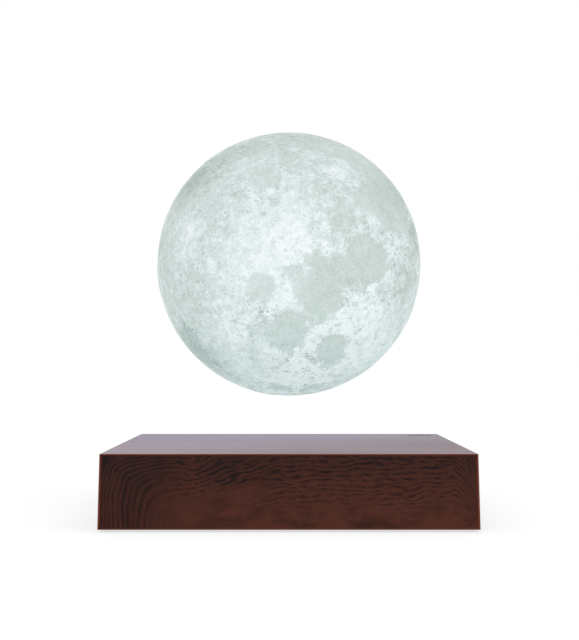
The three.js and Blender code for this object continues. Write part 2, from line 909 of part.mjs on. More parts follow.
const lamp = new THREE.Group();
const base = new THREE.Group();
const moon = new THREE.Group();
moon.position.z = baseHeight + levitationGap + moonRadius;
lamp.add(base, moon);

function place(group, name, look, solid, at = [0, 0, 0], angle = 0) {
  const mesh = new THREE.Mesh(geometryOf(solid), new THREE.MeshStandardMaterial(look));
  mesh.name = name;
  mesh.position.set(...at);
  mesh.rotation.z = angle;
  group.add(mesh);
}

// The angle and the place of one of several pieces spread evenly on a circle
function spread(index, count, radius, height, start = 0) {
  const angle = start + (index * 2 * Math.PI) / count;
  return [angle, [radius * Math.cos(angle), radius * Math.sin(angle), height]];
}

// Base
place(base, "base_housing", finish.woodGrain, baseHousing());
place(base, "bottom_cover", finish.blackPlastic, bottomCover());
place(base, "main_board", finish.board, mainBoard());
place(base, "magnet_tray", finish.blackPlastic, magnetTray());
place(base, "ring_magnet", finish.ferrite, ringMagnet());
place(base, "transmit_coil", finish.copper, transmitCoil());
place(base, "sensor_board", finish.board, sensorBoard());
place(base, "power_jack", finish.blackPlastic, powerJack());
place(base, "jack_pin", finish.nickel, jackPin());
place(base, "touch_spring", finish.steel, touchSpring(), [...touchPlace, 0]);
place(base, "bulk_capacitor", finish.capacitor, bulkCapacitor(), [-cornerPlace, -cornerPlace, 0]);
place(base, "power_inductor", finish.ferrite, powerInductor(), [cornerPlace, -cornerPlace, 0]);
footPlaces.forEach(([x, y], i) => {
  place(base, `foot_${i + 1}`, finish.rubber, foot(), [x, y, 0]);
});
bossPlaces.forEach(([x, y], i) => {
  place(base, `case_screw_${i + 1}`, finish.steel, caseScrew(), [x, y, coverBottom + screwRecess]);
});
for (let i = 0; i < coilCount; i++) {
  const [, at] = spread(i, coilCount, coilCircle, 0);
  place(base, `coil_bobbin_${i + 1}`, finish.whitePlastic, coilBobbin(), at);
  place(base, `coil_winding_${i + 1}`, finish.copper, coilWinding(), at);
  place(base, `coil_core_${i + 1}`, finish.steel, coilCore(), at);
}
const sensorDeck = sensorBottom + sensorBoardThickness + seatGap;
for (let i = 0; i < sensorCount; i++) {
  const [, at] = spread(i, sensorCount, sensorPlaceShare * sensorBoardRadius, sensorDeck, Math.PI / 4);
  place(base, `hall_sensor_${i + 1}`, finish.chip, chip(sensorChip, sensorChipHeight), at);
}
const underside = boardBottom - seatGap - chipThickness;
const driver = chip(driverChip, chipThickness);
const controller = chip(controllerChip, chipThickness);
place(base, "driver_chip_1", finish.chip, driver, [-chipSpacing, 0, underside]);
place(base, "driver_chip_2", finish.chip, driver, [chipSpacing, 0, underside]);
place(base, "controller_chip", finish.chip, controller, [0, -chipSpacing, underside]);

// Moon
place(moon, "moon_shell", finish.moon, moonShell());
place(moon, "hatch_plug", finish.moon, hatchPlug());
place(moon, "float_magnet", finish.nickel, floatMagnet());
place(moon, "receive_coil", finish.copper, receiveCoil());
place(moon, "rectifier_board", finish.board, rectifierBoard());
place(moon, "light_post", finish.whitePlastic, lightPost());
place(moon, "light_board", finish.whiteBoard, lightBoard());
const besidePost = (postFootRadius + moonBoardRadius) / 2;
const moonDeck = moonBoardTop + seatGap;
const smoothingCan = rod(smoothingRadius, 0, smoothingHeight, smallSides);
const lead = rod(leadRadius, moonDeck, lightBoardBottom - seatGap, smallSides);
place(moon, "bridge_rectifier", finish.chip, chip(bridgeChip, bridgeHeight), [besidePost, 0, moonDeck]);
place(moon, "smoothing_capacitor", finish.capacitor, smoothingCan, [-besidePost, 0, moonDeck]);
place(moon, "light_lead", finish.rubber, lead);
for (let i = 0; i < ledCount; i++) {
  const [angle, at] = spread(i, ledCount, ledCircle, lightBoardTop + seatGap, Math.PI / ledCount);
  place(moon, `led_${i + 1}`, finish.lens, chip(ledSize, ledHeight), at, angle);
}
[-1, 1].forEach((side, i) => {
  const at = [side * postScrewCircle, 0, lightBoardTop + seatGap];
  place(moon, `post_screw_${i + 1}`, finish.steel, postScrew(), at);
});

export default lamp;
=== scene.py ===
# Looks of a levitating moon lamp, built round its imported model. Metres, in the model's own frame.
import math

import bpy
from bpy.props import FloatProperty, FloatVectorProperty, IntProperty, PointerProperty
from mathutils import Euler, Matrix, Vector


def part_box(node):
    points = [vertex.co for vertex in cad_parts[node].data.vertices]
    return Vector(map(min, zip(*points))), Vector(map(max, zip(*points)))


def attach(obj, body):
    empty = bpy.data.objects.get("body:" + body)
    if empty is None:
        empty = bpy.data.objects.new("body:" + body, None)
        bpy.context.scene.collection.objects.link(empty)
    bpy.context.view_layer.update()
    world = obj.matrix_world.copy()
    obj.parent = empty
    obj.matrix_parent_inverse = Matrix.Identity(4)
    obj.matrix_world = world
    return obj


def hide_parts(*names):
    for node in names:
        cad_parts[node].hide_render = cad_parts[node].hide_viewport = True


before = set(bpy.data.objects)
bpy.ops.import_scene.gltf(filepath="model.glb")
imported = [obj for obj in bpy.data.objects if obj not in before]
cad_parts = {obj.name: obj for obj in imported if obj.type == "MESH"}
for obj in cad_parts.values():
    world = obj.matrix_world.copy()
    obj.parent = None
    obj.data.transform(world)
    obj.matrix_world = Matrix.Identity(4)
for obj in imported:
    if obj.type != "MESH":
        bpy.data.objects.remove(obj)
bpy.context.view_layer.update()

bl_info = {
    "name": "Levitating Moon Lamp",
    "version": (1, 0, 0),
    "blender": (4, 5, 0),
    "location": "3D View > Sidebar > Moon Lamp",
    "description": "Builds the finishes and fine forms of a levitating moon lamp round its CAD model",
    "category": "Object",
}

MM = 0.001
IMAGE_WIDTH = 579
IMAGE_HEIGHT = 640


# Colours are written as a screen shows them

def linear(value):
    """One channel of a screen colour, 0 to 255, as linear light."""
    share = value / 255
    return share / 12.92 if share <= 0.04045 else ((share + 0.055) / 1.055) ** 2.4


def colour(red, green, blue):
    return tuple(linear(channel) for channel in (red, green, blue))


def solid(rgb):
    """A colour with its alpha, as node sockets take it."""
    return (*rgb, 1.0)


# Sizes and places that the pieces share, read from the frame

def box_of(node):
    """The lowest and the highest corner of a node."""
    low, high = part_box(node)
    return low, high


def numbered(stem, count):
    """The names of like nodes: the stem with a number, from one up."""
    return [f"{stem}_{i}" for i in range(1, count + 1)]


def middles(nodes):
    """The middle of each node, seen from above."""
    boxes = [box_of(node) for node in nodes]
    return [((low.x + high.x) / 2, (low.y + high.y) / 2, 0.0) for low, high in boxes]


def upright(node):
    """Radius, foot and top of a round node, in millimetres."""
    low, high = box_of(node)
    return (high.x - low.x) / 2 / MM, low.z / MM, high.z / MM


HOUSING_LOW, HOUSING_HIGH = box_of("base_housing")
MOON_CENTRE = Vector((0, 0, 79.5 * MM))
CASE_SCREWS = numbered("case_screw", 4)
POST_SCREWS = numbered("post_screw", 2)
FEET = numbered("foot", 4)
LIGHTS = numbered("led", 6)


# The real moon's seas: latitude, longitude and radius in degrees, and how dark the sea is
LUNAR_SEAS = (
    (16.4, 59.4, 7, 0.93),
    (16.4, 63.4, 7, 0.96),
    (26, 18.4, 11, 1.0),
    (21.5, 22.5, 8, 1.0),
    (8.5, 27.5, 8.5, 0.95),
    (9, 37, 8, 0.95),
    (1, 33, 6.5, 0.82),
    (-4.5, 28, 4.5, 0.8),
    (14.5, 22.5, 4.5, 0.9),
    (-3, 49.5, 7.5, 0.82),
    (-3.5, 56, 7, 0.9),
    (-9.5, 53.5, 5, 0.8),
    (-17.5, 55, 4, 0.5),
    (-17.1, 34.7, 5.4, 0.72),
    (37, -20, 15.5, 0.75),
    (37, -37, 12, 0.7),
    (26, -12, 7, 0.6),
    (24, -38, 12, 0.5),
    (8, -44, 12, 0.35),
    (-20, -16, 7, 0.55),
    (-10.5, -27.5, 4, 0.5),
    (-24, -38, 6.5, 0.4),
    (-37, -50, 8, 0.6),
    (12.5, 4.5, 4.5, 0.5),
    (57, 29, 6, 0.5),
    (56.5, 8, 4.5, 0.3),
    (57, -12, 5, 0.3),
    (37, 33, 4.5, 0.4),
    (57, 81, 4.5, 0.6),
    (13.6, 90, 5, 0.65),
    (-0.7, 91.4, 5.8, 0.7),
    (-43, 92, 8, 0.8),
    (-20, -95, 6, 0.9),
    (27, 148, 5, 1.2),
    (-34, 163, 5, 1.1),
    (-53, -169, 16, 0.4),
)

# Bays that give the dark seas their outlines, but lie no lower: the same numbers
SEA_BAYS = (
    (32, 15, 5.5, 1.0),
    (21, 28, 4, 1.0),
    (12, 20.5, 4, 0.9),
    (4, 21.5, 4.5, 0.9),
    (6, 44, 4, 0.95),
    (2.5, 49.5, 3, 0.9),
    (-1, 58, 4, 0.9),
    (16.4, 66.5, 5, 1.0),
    (-20, 37, 3, 0.7),
    (-9, 57.5, 3, 0.8),
)

# Its large craters: latitude, longitude and radius in degrees, and how bright the rim and floor are
LUNAR_CRATERS = (
    (-43.3, -11.4, 3.2, 0.5),
    (9.6, -20.1, 3.2, 0.8),
    (-58.8, -14.1, 4, 0.1),
    (-9, -2, 3.2, 0.2),
    (-33, -4.8, 4, 0.1),
    (-8.9, 61, 3, 0.7),
    (-25.4, 60.8, 3.4, 0.3),
    (-45.4, 40.3, 3.6, 0.1),
    (-44.5, -55.3, 3.8, 0.1),
    (-12, 25.5, 3, 0.4),
    (-42, 10, 3.4, 0.1),
    (1.4, -128.7, 8, 0.1),
    (-4.4, -157.4, 7, 0.1),
    (-36.1, -151.8, 8, 0.1),
    (5.7, 140.9, 5.5, 0.2),
    (-20.2, 149.2, 4.6, 0.2),
    (58.7, -146.1, 5.6, 0.1),
    (-57.9, 136.8, 5.4, 0.1),
    (-75, 132.4, 5.4, 0.1),
    (50.8, 163.9, 4.2, 0.2),
    (42, -118, 4, 0.1),
    (-19.3, 122.6, 3.4, 0.1),
    (32.6, -95.3, 5.2, 0.1),
    (-35.2, -166.3, 4, 0.2),
    (-65, 60, 4, 0.1),
    (68, 70, 3.6, 0.1),
    (-5, 110, 3.6, 0.2),
    (20, 105, 4, 0.4),
)

# Craters with bright rays: latitude, longitude, reach of the rays in degrees, and their strength
RAY_CRATERS = (
    (-54, 7, 18, 1.0),
    (9.8, -21.7, 12, 0.9),
    (8.1, -38, 9, 0.4),
    (23.7, -47.5, 8, 0.4),
    (-10.7, 63, 8, 0.6),
    (39.4, 10.4, 7, 0.5),
    (-40.7, 28.5, 7, 0.6),
    (-47.6, 57, 6, 0.5),
    (-60, 43, 6, 0.5),
    (-52, 22, 4, 0.4),
    (33, 132, 22, 0.9),
    (-4.5, 101, 16, 0.7),
    (-21, 157, 18, 0.8),
    (4, -157, 15, 0.6),
)

# Broad brighter and darker patches: latitude, longitude, radius in degrees, and how much brighter
BROAD_PATCHES = (
    (-6, 9, 13, 0.26),
    (-22, 20, 14, 0.28),
    (-7, 25, 8, 0.12),
    (1, 31, 6, 0.08),
    (-8, 48, 9, 0.1),
    (14, 53, 8, 0.08),
    (27, 73, 6, 0.08),
    (-27, 42, 8, 0.1),
    (-28, 58, 8, 0.25),
    (-37, 68, 7, 0.1),
    (-19, 50, 8, -0.08),
    (-11, 39, 5, 0.08),
    (28, 43, 9, 0.22),
    (20, 47, 6, 0.06),
    (20, 37, 4, -0.12),
    (38, 18, 5, 0.1),
    (3, 98, 10, 0.04),
    (15, 45, 3.2, 0.34),
    (9.5, 49, 3.2, 0.34),
    (5, 54.5, 3.2, 0.3),
    (-6, 36, 4.5, 0.26),
    (41, 8, 8, 0.05),
    (25, -4, 5, 0.12),
    (10, -20, 8, 0.04),
    (-5, -7, 5, 0.06),
    # Painted light: these brighter patches lie low on the lamp and lift the shade on the underside of the
    # ball.
    (4, 76, 15, 0.24),
    (34, 68, 16, 0.27),
    (-20, 79, 10, 0.22),
    (-25, -25, 10, 0.18),
    (-60, 20, 13, 0.19),
    (-66, 52, 12, -0.05),
    (-86, 20, 8, -0.1),
    (-41, 14, 7, -0.12),
    (-44, -7, 8, -0.08),
    (-34, -37, 14, -0.2),
    (-55, -41, 14, -0.28),
    (-5, -45, 14, -0.14),
    (-52, 41, 8, -0.14),
    (-38, 52, 8, -0.08),
    (-41, 90, 15, -0.4),
    (-67, 25, 12, -0.14),
    (48, 26, 14, -0.15),
    (55, 18, 12, -0.1),
    (60, -15, 8, -0.3),
    (45, -40, 12, -0.28),
    (35, -18, 12, -0.12),
    (5, -14, 6, -0.12),
    (10, 3, 11, -0.15),
)

# Small dark floors: latitude, longitude and radius in degrees, and how dark
DARK_FLOORS = (
    (53.9, -12.1, 1.6, 1.0),
    (-29.3, -45.7, 1.5, 1.0),
    (-5.5, -68.3, 3, 0.7),
    (-20.4, 129, 3, 0.9),
    (-44.5, -55.3, 3, 0.5),
    (55.5, 58, 1.8, 0.5),
    (44.5, 68, 1.4, 0.8),
    (46, 60.7, 1.2, 0.4),
    (-1.5, 91.5, 3.2, 0.3),
    (13, 89, 2.8, 0.3),
    (-30, 82, 1.3, 0.5),
    (-42, 13.8, 1.6, 0.4),
    (-46, 77, 2, 0.4),
    (6.5, 71.5, 2.2, 0.5),
    (8.5, 66, 1.6, 0.5),
    (4, 68.5, 1.4, 0.4),
)

# Where small ringed craters crowd together: latitude, longitude and radius in degrees, and how strong
CRATER_FIELDS = (
    (-14, 45.5, 5.5, 0.65),
    (-20, 54, 7, 0.35),
    (7, 71, 8, 1.5),
    (2, 88, 10, 0.6),
    (16, 42, 5, 0.7),
    (21, 53, 5, 0.6),
    (27, 42, 9, 0.5),
    (5, -14, 7, 0.3),
    (36, 30, 7, 0.5),
    (-25, -3, 8, 0.3),
    (30, 55, 14, 0.4),
    (8, 78, 16, 1.1),
    (-26, 52, 14, 0.2),
    (-8, 12, 13, 0.35),
    (-48, 22, 16, 0.3),
    (50, 0, 14, 0.4),
    (-38, -35, 12, 0.1),
    (-12, 110, 16, 0.6),
    (25, -130, 20, 0.6),
)

# How the moon is turned, in degrees: the place that faces the front, and north, clockwise from up
FACING = {"latitude": -7.8, "longitude": 19.6, "north": 96.1}


def globe_point(latitude, longitude):
    """A unit vector of the moon's own globe."""
    up = math.radians(latitude)
    along = math.radians(longitude)
    return Vector((math.cos(up) * math.cos(along), math.cos(up) * math.sin(along), math.sin(up)))


def globe_turn():
    """The turn that brings the facing place to the front of the lamp, with north at its angle."""
    to_front = globe_point(FACING["latitude"], FACING["longitude"])
    north = Vector((0, 0, 1))
    up = (north - to_front * north.dot(to_front)).normalized()
    globe = Matrix((up.cross(to_front), to_front, up))
    angle = math.radians(FACING["north"])
    up_at = Vector((math.sin(angle), 0, math.cos(angle)))
    front_at = Vector((0, -1, 0))
    return Matrix((up_at.cross(front_at), front_at, up_at)).transposed() @ globe


# Node trees written as expressions

def named(sockets, name):
    """The socket in use that has this name, or this number where names repeat."""
    used = [socket for socket in sockets if socket.enabled]
    return used[name] if isinstance(name, int) else next(s for s in used if s.name == name)


class Wire:
    """A node's output in an expression: a sum or product of wires and numbers adds its Math nodes."""

    def __init__(self, sheet, node, socket):
        self.sheet = sheet
        self.node = node
        self.socket = socket

    def output(self, name):
        return Wire(self.sheet, self.node, named(self.node.outputs, name))

    def __add__(self, other):
        return self.sheet.math("ADD", self, other)

    def __sub__(self, other):
        return self.sheet.math("SUBTRACT", self, other)

    def __rsub__(self, other):
        return self.sheet.math("SUBTRACT", other, self)

    def __mul__(self, other):
        return self.sheet.math("MULTIPLY", self, other)

    def __truediv__(self, other):
        return self.sheet.math("DIVIDE", self, other)

    def __rtruediv__(self, other):
        return self.sheet.math("DIVIDE", other, self)

    def __pow__(self, power):
        return self.sheet.math("POWER", self, power)

    __radd__ = __add__
    __rmul__ = __mul__


class Sheet:
    """A node tree, the one way to add a node to it, and short names for the usual nodes."""

    def __init__(self, tree):
        self.tree = tree

    def add(self, kind, settings=None, sockets=None):
        node = self.tree.nodes.new(kind)
        for name, value in (settings or {}).items():
            if name == "stops":
                set_stops(node.color_ramp, value)
            else:
                setattr(node, name, value)
        for name, value in (sockets or {}).items():
            self.feed(named(node.inputs, name), value)
        outputs = [socket for socket in node.outputs if socket.enabled]
        return Wire(self, node, outputs[0] if outputs else None)

    def feed(self, socket, value):
        for item in value if isinstance(value, list) else [value]:
            if isinstance(item, Wire):
                self.tree.links.new(item.socket, socket)
            else:
                socket.default_value = item

    def math(self, operation, *values):
        return self.add("ShaderNodeMath", {"operation": operation}, dict(enumerate(values)))

    def least(self, first, second):
        return self.math("MINIMUM", first, second)

    def most(self, first, second):
        return self.math("MAXIMUM", first, second)

    def vector(self, operation, *values):
        return self.add("ShaderNodeVectorMath", {"operation": operation}, dict(enumerate(values)))

    def strayed(self, place, noise, reach):
        """A place that a noise moves about, by up to half the reach each way."""
        shift = self.vector("SUBTRACT", noise.output("Color"), (0.5,) * 3)
        return self.vector("ADD", place, self.vector("MULTIPLY", shift, (reach,) * 3))

    def smooth(self, value, low, high):
        """0 at low, 1 at high, and a smooth rise between them. Low may be above high."""
        return self.add(
            "ShaderNodeMapRange",
            {"interpolation_type": "SMOOTHSTEP"},
            {"Value": value, "From Min": low, "From Max": high},
        )

    def noise(self, vector, scale, detail=3.0, roughness=0.5, seed=None):
        settings = {"noise_dimensions": "3D" if seed is None else "4D"}
        sockets = {"Vector": vector, "Scale": scale, "Detail": detail, "Roughness": roughness}
        if seed is not None:
            sockets["W"] = seed
        return self.add("ShaderNodeTexNoise", settings, sockets)

    def cells(self, vector, scale):
        return self.add("ShaderNodeTexVoronoi", None, {"Vector": vector, "Scale": scale})

    def parts(self, vector):
        """The x, y and z of a vector."""
        node = self.add("ShaderNodeSeparateXYZ", None, {"Vector": vector})
        return [node.output(axis) for axis in "XYZ"]

    def combine(self, x, y, z):
        return self.add("ShaderNodeCombineXYZ", None, {"X": x, "Y": y, "Z": z})

    def blend(self, factor, first, second, kind="MIX"):
        """A mix of two colours."""
        settings = {"data_type": "RGBA", "blend_type": kind}
        return self.add("ShaderNodeMix", settings, {"Factor": factor, "A": first, "B": second})

    def ramp(self, value, stops):
        return self.add("ShaderNodeValToRGB", {"stops": stops}, {0: value})

    def bump(self, height, strength, distance):
        sockets = {"Height": height, "Strength": strength, "Distance": distance}
        return self.add("ShaderNodeBump", None, sockets)

    def place(self, centre=(0, 0, 0), scale=1000.0):
        """Object coordinates measured from a centre, in millimetres unless another scale is given."""
        coordinates = self.add("ShaderNodeTexCoord").output("Object")
        location = tuple(-value * scale for value in centre)
        sockets = {"Vector": coordinates, "Location": location, "Scale": (scale,) * 3}
        return self.add("ShaderNodeMapping", None, sockets)

    def attribute(self, name):
        return self.add("ShaderNodeAttribute", {"attribute_name": name}).output("Fac")


def set_stops(ramp, stops):
    """Gives a colour ramp its stops, each a place and a colour."""
    while len(ramp.elements) > 1:
        ramp.elements.remove(ramp.elements[-1])
    for number, (position, rgb) in enumerate(stops):
        element = ramp.elements[0] if number == 0 else ramp.elements.new(position)
        element.position = position
        element.color = solid(rgb)


def emptied(owner):
    """The sheet of a material's or the world's node tree, with nothing on it."""
    owner.use_nodes = True
    owner.node_tree.nodes.clear()
    return Sheet(owner.node_tree)


def material(name, describe):
    """A principled material. describe takes the sheet and returns the shader's sockets."""
    made = bpy.data.materials.new(name)
    sheet = emptied(made)
    shader = sheet.add("ShaderNodeBsdfPrincipled", None, describe(sheet))
    sheet.add("ShaderNodeOutputMaterial", None, {"Surface": shader})
    return made


# Geometry node trees

NUMBER = "NodeSocketFloat"
WHOLE = "NodeSocketInt"
OBJECT = "NodeSocketObject"
MATERIAL = "NodeSocketMaterial"


def geometry_tree(name, inputs):
    """A new geometry tree with named inputs, as its sheet and a look-up of those inputs."""
    tree = bpy.data.node_groups.new(name, "GeometryNodeTree")
    tree.interface.new_socket("Geometry", in_out="INPUT", socket_type="NodeSocketGeometry")
    for label, kind in {**inputs, "Material": MATERIAL}.items():
        tree.interface.new_socket(label, in_out="INPUT", socket_type=kind)
    tree.interface.new_socket("Geometry", in_out="OUTPUT", socket_type="NodeSocketGeometry")
    sheet = Sheet(tree)
    return sheet, sheet.add("NodeGroupInput").output


def end_tree(sheet, given, geometry):
    """Every tree ends with plain geometry that has its material."""
    real = sheet.add("GeometryNodeRealizeInstances", None, {"Geometry": geometry})
    sockets = {"Geometry": real, "Material": given("Material")}
    painted = sheet.add("GeometryNodeSetMaterial", None, sockets)
    sheet.add("NodeGroupOutput", None, {"Geometry": painted})


def linked(name, mesh):
    made = bpy.data.objects.new(name, mesh)
    bpy.context.scene.collection.objects.link(made)
    return made


def plain_mesh(source):
    """The mesh that an object's modifiers make, as plain data."""
    graph = bpy.context.evaluated_depsgraph_get()
    evaluated = source.evaluated_get(graph)
    return bpy.data.meshes.new_from_object(evaluated, preserve_all_data_layers=True, depsgraph=graph)


def grown(tree, mesh, values):
    """The plain mesh that a geometry tree makes of a mesh, with its inputs set."""
    source = linked("source", mesh)
    modifier = source.modifiers.new("tree", "NODES")
    modifier.node_group = tree
    for item in tree.interface.items_tree:
        if item.in_out == "INPUT" and item.name in values:
            modifier[item.identifier] = values[item.name]
    made = plain_mesh(source)
    bpy.data.objects.remove(source)
    return made


def read(sheet, name, kind="FLOAT"):
    """A named attribute of the geometry that a node works on."""
    return sheet.add("GeometryNodeInputNamedAttribute", {"data_type": kind}, {"Name": name})


def keep(sheet, geometry, name, value, kind="FLOAT"):
    """The geometry with a named attribute stored on its points."""
    sockets = {"Geometry": geometry, "Name": name, "Value": value}
    settings = {"data_type": kind, "domain": "POINT"}
    return sheet.add("GeometryNodeStoreNamedAttribute", settings, sockets)


def add_to(sheet, geometry, name, value):
    """The geometry with a value added to a named attribute."""
    return keep(sheet, geometry, name, read(sheet, name) + value)


def limit_to(sheet, geometry, name, operation, value):
    """The geometry with the smaller or the larger of a named attribute and a value."""
    return keep(sheet, geometry, name, sheet.math(operation, value, read(sheet, name)))


def for_each_row(sheet, given, geometry, table, step):
    """Runs step on the geometry once for each point of a table object. step gets the point's values."""
    info = sheet.add("GeometryNodeObjectInfo", {"transform_space": "ORIGINAL"}, {"Object": given(table)})
    points = info.output("Geometry")
    rows = sheet.add("GeometryNodeAttributeDomainSize", {"component": "MESH"}, {"Geometry": points})
    start = sheet.add("GeometryNodeRepeatInput")
    end = sheet.add("GeometryNodeRepeatOutput")
    start.node.pair_with_output(end.node)
    sheet.feed(named(start.node.inputs, "Iterations"), rows)
    sheet.feed(named(start.node.inputs, "Geometry"), geometry)
    index = start.output("Iteration")

    def sample(value, kind):
        sockets = {"Geometry": points, "Value": value, "Index": index}
        return sheet.add("GeometryNodeSampleIndex", {"data_type": kind}, sockets)

    row = {
        "centre": sample(sheet.add("GeometryNodeInputPosition"), "FLOAT_VECTOR"),
        "reach": sample(read(sheet, "reach"), "FLOAT"),
        "gain": sample(read(sheet, "gain"), "FLOAT"),
        "index": index,
    }
    stepped = step(sheet, given, start.output("Geometry"), row)
    sheet.feed(named(end.node.inputs, "Geometry"), stepped)
    return end.output("Geometry")


# Meshes

def lathe(profile, segments):
    """A closed solid of revolution. The profile's (radius, height) points run counter-clockwise, and
    either start and end on the axis or close on themselves."""
    rows = []
    points = []
    for radius, height in profile:
        if radius < 1e-9:
            rows.append([len(points)] * segments)
            points.append((0.0, 0.0, height))
            continue
        rows.append([len(points) + i for i in range(segments)])
        for i in range(segments):
            angle = 2 * math.pi * i / segments
            points.append((radius * math.cos(angle), radius * math.sin(angle), height))
    pairs = list(zip(rows, rows[1:]))
    if profile[0][0] > 1e-9:
        pairs.append((rows[-1], rows[0]))
    faces = []
    for low, high in pairs:
        for i in range(segments):
            j = (i + 1) % segments
            ring = [low[i], low[j], high[j], high[i]]
            faces.append(tuple(dict.fromkeys(ring)))
    return mesh_of(points, faces)


def mesh_of(points, faces):
    mesh = bpy.data.meshes.new("piece")
    mesh.from_pydata(points, [], faces)
    return mesh


def sector(profile, degrees, steps):
    """A slice of a ring with a closed profile, on the X axis, with flat ends."""
    count = len(profile)
    points = []
    for step in range(steps + 1):
        angle = math.radians(degrees) * (step / steps - 0.5)
        points += [(r * math.cos(angle), r * math.sin(angle), z) for r, z in profile]
    faces = [tuple(range(count))]
    for step in range(steps):
        for k in range(count):
            a = step * count + k
            b = step * count + (k + 1) % count
            faces.append((a, a + count, b + count, b))
    faces.append(tuple(reversed(range(steps * count, (steps + 1) * count))))
    return mesh_of(points, faces)


def moved_mesh(mesh, x, y, z, angle=0.0):
    mesh.transform(Matrix.Translation((x, y, z)) @ Euler((0, 0, angle)).to_matrix().to_4x4())
    return mesh


def joined(meshes):
    """Several meshes as one, which may overlap."""
    points = []
    faces = []
    for mesh in meshes:
        start = len(points)
        points += [tuple(vertex.co) for vertex in mesh.vertices]
        faces += [tuple(start + index for index in face.vertices) for face in mesh.polygons]
    return mesh_of(points, faces)


def carved(body, cutters, operation="DIFFERENCE"):
    """A solid with others cut from it, or united with it."""
    target = linked("target", body)
    tools = [linked("tool", mesh) for mesh in cutters]
    for tool in tools:
        modifier = target.modifiers.new("carve", "BOOLEAN")
        modifier.operation = operation
        modifier.solver = "MANIFOLD"
        modifier.object = tool
    made = plain_mesh(target)
    for used in (target, *tools):
        bpy.data.objects.remove(used)
    return made


def points_mesh(places, **columns):
    """Loose points with a named number on each, as a table or as places for copies."""
    mesh = mesh_of(places, [])
    for name, values in columns.items():
        attribute = mesh.attributes.new(name, "FLOAT", "POINT")
        attribute.data.foreach_set("value", values)
    return mesh


def piece(name, mesh, body, slot, replaced, look=None, crease=35):
    """A finished piece: at the origin, smooth up to its creases, riding on its body."""
    mesh.name = name
    if look is not None:
        mesh.materials.clear()
        mesh.materials.append(look)
        mesh.polygons.foreach_set("material_index", [0] * len(mesh.polygons))
    mesh.shade_smooth()
    mesh.set_sharp_from_angle(angle=math.radians(crease))
    made = linked(name, mesh)
    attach(made, body)
    if replaced:
        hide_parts(*replaced)
    return made


def add_piece(name, mesh, slot, replaced, body="base"):
    """A finished piece in its slot's own material."""
    return piece(name, mesh, body, slot, replaced, finish(slot))


def repaint(look, *names):
    """Gives CAD nodes a material."""
    for name in names:
        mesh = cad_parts[name].data
        mesh.materials.clear()
        mesh.materials.append(look)


# Settings that a user would change

def length(name, description, millimetres):
    return FloatProperty(
        name=name, description=description, default=millimetres * MM, unit="LENGTH", precision=5
    )


def share(name, description, value):
    return FloatProperty(
        name=name, description=description, default=value, min=0.0, max=2.0, subtype="FACTOR"
    )


def tint(name, description, red, green, blue):
    return FloatVectorProperty(
        name=name,
        description=description,
        default=colour(red, green, blue),
        min=0.0,
        max=1.0,
        subtype="COLOR",
    )


class MoonSettings(bpy.types.PropertyGroup):
    mean_radius: length("Mean Radius", "Radius of the surface where it is level", 42.35)
    hollow_radius: length("Hollow Radius", "Radius of the space inside the shell", 40.55)
    sea_depth: length("Sea Depth", "How far the seas lie below the highlands", 0.5)
    crater_depth: length("Crater Depth", "Depth of the large craters", 0.4)
    rim_height: length("Rim Height", "How far the rims of the large craters stand up", 0.15)
    pit_depth: length("Pit Depth", "Depth of the small craters", 0.16)
    segments: IntProperty(name="Segments", description="Points round each ring", default=420, min=24)
    rings: IntProperty(name="Rings", description="Rings from the hatch to the top", default=190, min=12)
    seed: FloatProperty(name="Seed", description="Seed of everything that is random", default=4.0)
    glow: share("Glow", "Strength of the light that comes through the shell", 0.645)
    resin: share("Resin", "How bright the unlit shell is, as a share of the lit one", 0.36)
    bright: tint("Bright", "Fresh rims and rays", 246, 252, 254)
    highland: tint("Highland", "Highlands", 220, 231, 230)
    sea: tint("Sea", "Seas", 206, 218, 214)
    floor: tint("Dark Floor", "The darkest crater floors", 168, 182, 178)


class WoodSettings(bpy.types.PropertyGroup):
    light: tint("Light Grain", "Film between the grain lines", 76, 39, 29)
    dark: tint("Dark Grain", "Grain lines", 22, 8, 8)
    edge: tint("Film Edge", "Where the film is stretched over an edge", 84, 28, 4)
    # Colour of the painted highlight along the upright corners; the foot and the front of the top are
    # painted towards it too
    corner_highlight: tint("Upright Corner", "The film's pale line along the upright corners", 124, 72, 54)
    roughness: share("Roughness", "Roughness of the film", 0.42)
    gloss: share("Gloss", "Strength of the film's reflection", 0.08)
    lacquer: share("Lacquer", "How much clear lacquer covers the top", 0.228)
    sheen: share("Sheen", "Soft haze seen along the surface", 0.3)
    sheen_tint: tint("Sheen Tint", "Colour of the haze", 230, 208, 255)


class BaseSettings(bpy.types.PropertyGroup):
    lean: length("Lean", "How far each side leans in at the top", 0.45)
    corner: length("Corner Radius", "Radius of the upright corners", 0.8)
    rolled: length("Rolled Edge", "Radius of the upper edge", 0.2)
    wall: length("Wall", "Thickness of the side walls", 2.5)
    top: length("Top Thickness", "Thickness of the top", 2.0)
    touch_radius: length("Touch Radius", "Radius of the touch switch", 4.0)
    touch_depth: length("Touch Depth", "Depth of the touch switch", 0.3)
    touch_inset: length("Touch Inset", "Touch switch to the right side of the top", 7.4)
    touch_setback: length("Touch Setback", "Touch switch to the back of the top", 11.6)
    mouth_radius: length("Jack Mouth", "Radius of the recess of the power jack", 5.1)
    mouth_collar: length("Jack Collar", "Thickness of the collar round the recess", 1.2)


class StageSettings(bpy.types.PropertyGroup):
    camera_height: length("Camera Height", "Height of the camera above the table", 47.69)
    camera_distance: length("Camera Distance", "Camera to the middle of the base", 430.02)
    camera_aside: length("Camera Aside", "How far the camera stands to the right", 0.165)
    camera_pitch: FloatProperty(
        name="Camera Pitch",
        description="How far the camera looks up",
        default=math.radians(1.845),
        subtype="ANGLE",
    )
    focal_pixels: FloatProperty(name="Focal Length", description="In pixels of the image", default=1332.0)
    ambient: share("Ambient", "Strength of the light from all sides", 0.52)
    key: share("Key", "Strength of the soft light from the front", 0.65)


